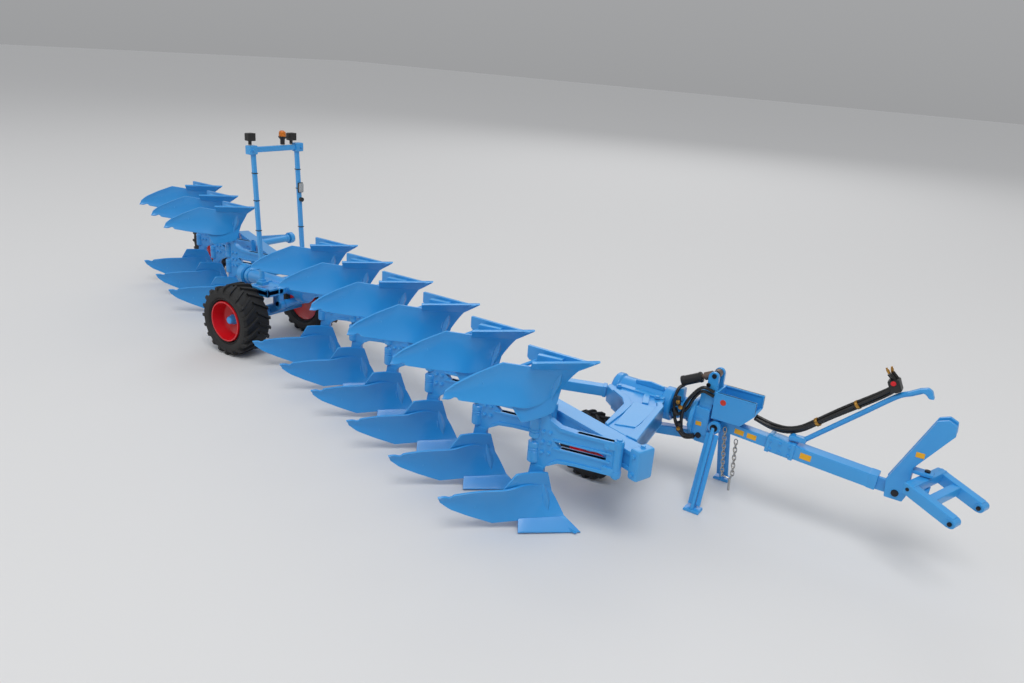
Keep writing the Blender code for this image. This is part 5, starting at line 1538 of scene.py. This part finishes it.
@dataclass
class Hitch:
    """Yoke with its upright plate, and the two-armed frame ahead of it."""

    pin: tuple = (86.5, 56.0, 25.2)
    king: tuple = (94.0, 56.0, 31.4)
    yaw: float = -20.0
    spacing: float = 18.5
    arm: float = 15.8
    drop: float = 4.4
    cross: float = 6.4
    bar: float = 3.4

    def build(self, workshop: Workshop) -> None:
        """Deliver the yoke and the frame."""
        pin, king = Vector(self.pin), Vector(self.king)
        shape = Shape()
        outer = [(-3.0, -2.4), (2.6, -2.4), (3.4, 0.0), (3.4, 10.4), (12.6, 24.6), (12.2, 28.0), (9.6, 29.2),
                 (6.6, 28.0), (-3.6, 4.0)]
        for side in (1, -1):
            shape.plate(outer, 1.35, pin + Vector((0, side * 1.85, 0)), (1, 0, 0), UP, bevel=0.3)
        shape.bar(pin + Vector((2.2, 0, 9.0)), pin + Vector((9.4, 0, 25.0)), 3.6, 1.6, bevel=0.3)
        for side in (1, -1):
            shape.box((8.4, 3.6, 1.2), king + Vector((-2.2, 0, side * (self.bar / 2 + GAP + 0.6))), bevel=0.25)
        workshop.deliver(shape, "hitch_yoke_plates", BLUE_ENAMEL, "hitch_yoke", ["hitch_yoke"])
        pins = Shape()
        pins.rod(pin - Vector((0, 3.0, 0)), pin + Vector((0, 3.0, 0)), 1.2, sides=22, bevel=0.25)
        pins.rod(king - UP * 3.9, king + UP * 3.9, 0.9, sides=22, bevel=0.2)
        workshop.deliver(pins, "yoke_pins", BLACK_STEEL, "hitch_yoke")
        label = Shape()
        label.plate([(-1.3, -0.9), (1.3, -0.9), (1.3, 0.9), (-1.3, 0.9)], 0.12, pin + Vector((4.4, -2.56, 15.4)),
                    (1, 0, 0), UP, bevel=0.03)
        workshop.deliver(label, "yoke_blank_label", YELLOW_VINYL, "hitch_yoke")
        self._frame(workshop, king)

    def _frame(self, workshop: Workshop, king: Vector) -> None:
        """Add the frame of two arms, cross members and roll pins."""
        heading = Vector((math.cos(math.radians(self.yaw)), math.sin(math.radians(self.yaw)), 0))
        across = Vector((-heading.y, heading.x, 0))
        half = self.spacing / 2
        shape, pins = Shape(), Shape()
        shape.bar(king - across * (half + 1.5), king + across * (half + 1.5), self.bar, self.bar, bevel=0.45)
        for side in (1, -1):
            start = king + across * side * half - heading
            end = start + heading * self.arm - UP * self.drop
            shape.bar(start, end, self.bar, 4.0, bevel=0.5)
            shape.rod(end - across * 2.0, end + across * 2.0, 1.6, sides=26, bevel=0.25)
            pins.rod(end - across * 2.6, end + across * 2.6, 0.7, sides=22, bevel=0.15)
            pins.rod(start + heading - across * 1.9, start + heading + across * 1.9, 0.6, sides=18, bevel=0.12)
        front = king + heading * self.cross - UP * self.drop * (self.cross + 1.0) / self.arm
        shape.bar(front - across * half, front + across * half, 3.0, 3.0, bevel=0.4)
        workshop.deliver(shape, "hitch_frame_arms", BLUE_ENAMEL, "hitch_frame", ["hitch_frame"])
        workshop.deliver(pins, "hitch_roll_pins", BLACK_STEEL, "hitch_frame")


# --- studio -------------------------------------------------------------------------------------
@dataclass
class Studio:
    """Pale floor, soft lights and the camera."""

    # Maker's frame, in millimetres: where the camera stands, and its turns in degrees.
    place: tuple = (104.76, -215.25, 152.18)
    azimuth: float = 32.52
    elevation: float = 19.65
    roll: float = 4.36
    lens: float = 28.40

    def build(self, workshop: Workshop) -> None:
        """Set the floor, the world, the lights and the camera."""
        self._floor()
        self._world()
        self._lights(workshop)
        self._camera(workshop)

    @staticmethod
    def _floor() -> None:
        """Lay a plain pale floor under the model."""
        bpy.ops.mesh.primitive_plane_add(size=9.0, location=(0, 0, -0.00002))
        floor = bpy.context.active_object
        floor.name = "studio_floor"
        paper = bpy.data.materials.new("matt_white_paper")
        paper.use_nodes = True
        shader = paper.node_tree.nodes["Principled BSDF"]
        shader.inputs["Base Color"].default_value = (0.72, 0.72, 0.72, 1.0)
        shader.inputs["Roughness"].default_value = 0.9
        floor.data.materials.append(paper)

    @staticmethod
    def _world() -> None:
        """Fill the room with a soft, even sky."""
        world = bpy.data.worlds.new("soft_sky")
        world.use_nodes = True
        tree = world.node_tree
        backing = tree.nodes["Background"]
        height = add_node(tree, "ShaderNodeSeparateXYZ", links={0: add_node(tree, "ShaderNodeTexCoord").outputs["Generated"]})
        shade = add_node(tree, "ShaderNodeMapRange", {"From Min": -0.2, "From Max": 1.0, "To Min": 0.30, "To Max": 0.62},
                         {"Value": height.outputs["Z"]})
        backing.inputs["Color"].default_value = (0.97, 0.98, 1.0, 1.0)
        tree.links.new(shade.outputs["Result"], backing.inputs["Strength"])
        bpy.context.scene.world = world
        bpy.context.scene.view_settings.view_transform = "Standard"

    def _lights(self, workshop: Workshop) -> None:
        """Hang the large key light and two fills."""
        middle = workshop.origin + Vector((-110, 50, 40)) * MM
        for name, shift, size, power in (("key", (0.35, -0.45, 0.95), 0.55, 5.2), ("fill", (-0.9, -0.7, 0.5), 0.8, 1.6),
                                         ("rim", (-0.3, 1.0, 0.7), 0.7, 2.2)):
            lamp = bpy.data.lights.new(name, "AREA")
            lamp.size = size
            lamp.energy = power
            holder = bpy.data.objects.new(f"{name}_light", lamp)
            bpy.context.scene.collection.objects.link(holder)
            holder.location = middle + Vector(shift)
            holder.rotation_euler = (middle - holder.location).to_track_quat("-Z", "Y").to_euler()

    def _camera(self, workshop: Workshop) -> None:
        """Stand the camera at the matched place."""
        az, el, roll = (math.radians(v) for v in (self.azimuth, self.elevation, self.roll))
        ahead = -Vector((math.sin(az) * math.cos(el), -math.cos(az) * math.cos(el), math.sin(el)))
        right = ahead.cross(UP).normalized()
        top = right.cross(ahead)
        across = right * math.cos(roll) + top * math.sin(roll)
        upward = top * math.cos(roll) - right * math.sin(roll)
        turn = Matrix((across, upward, -ahead)).transposed().to_4x4()
        lens = bpy.data.cameras.new("studio_camera")
        lens.lens = self.lens
        lens.sensor_width = 36.0
        lens.clip_start = 0.01
        holder = bpy.data.objects.new("studio_camera", lens)
        bpy.context.scene.collection.objects.link(holder)
        holder.matrix_world = Matrix.Translation(workshop.origin + Vector(self.place) * MM) @ turn
        bpy.context.scene.camera = holder


def main() -> None:
    """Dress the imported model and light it."""
    logging.basicConfig(level=logging.INFO, format="%(name)s: %(message)s")
    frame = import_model()
    workshop = Workshop(frame)
    PloughBottom().build(workshop)
    LegPair().build(workshop)
    FrontFrame().build(workshop)
    RearFrame().build(workshop)
    Carriage().build(workshop)
    for name, body, centre, radius, width, rim, dish in (
            ("wheel_right", "wheel_right", (-216.0, AXIS_Y - 24.8, 17.5), 17.5, 15.6, 10.6, -1),
            ("wheel_left", "wheel_left", (-216.0, AXIS_Y + 24.8, 17.5), 17.5, 15.6, 10.6, 1),
            ("rear_wheel", "rear_wheel", (-351.0, 120.0, 17.5), 17.5, 10.0, 10.6, -1),
            ("support_wheel", "support_wheel", (-17.5, 38.5, 13.0), 13.0, 9.0, 7.8, -1)):
        Wheel(name, body, centre, radius, width, rim, dish).build(workshop)
    Headstock().build(workshop)
    Drawbar().build(workshop)
    Stand().build(workshop)
    Hitch().build(workshop)
    Studio().build(workshop)


if __name__ == "__main__":
    main()
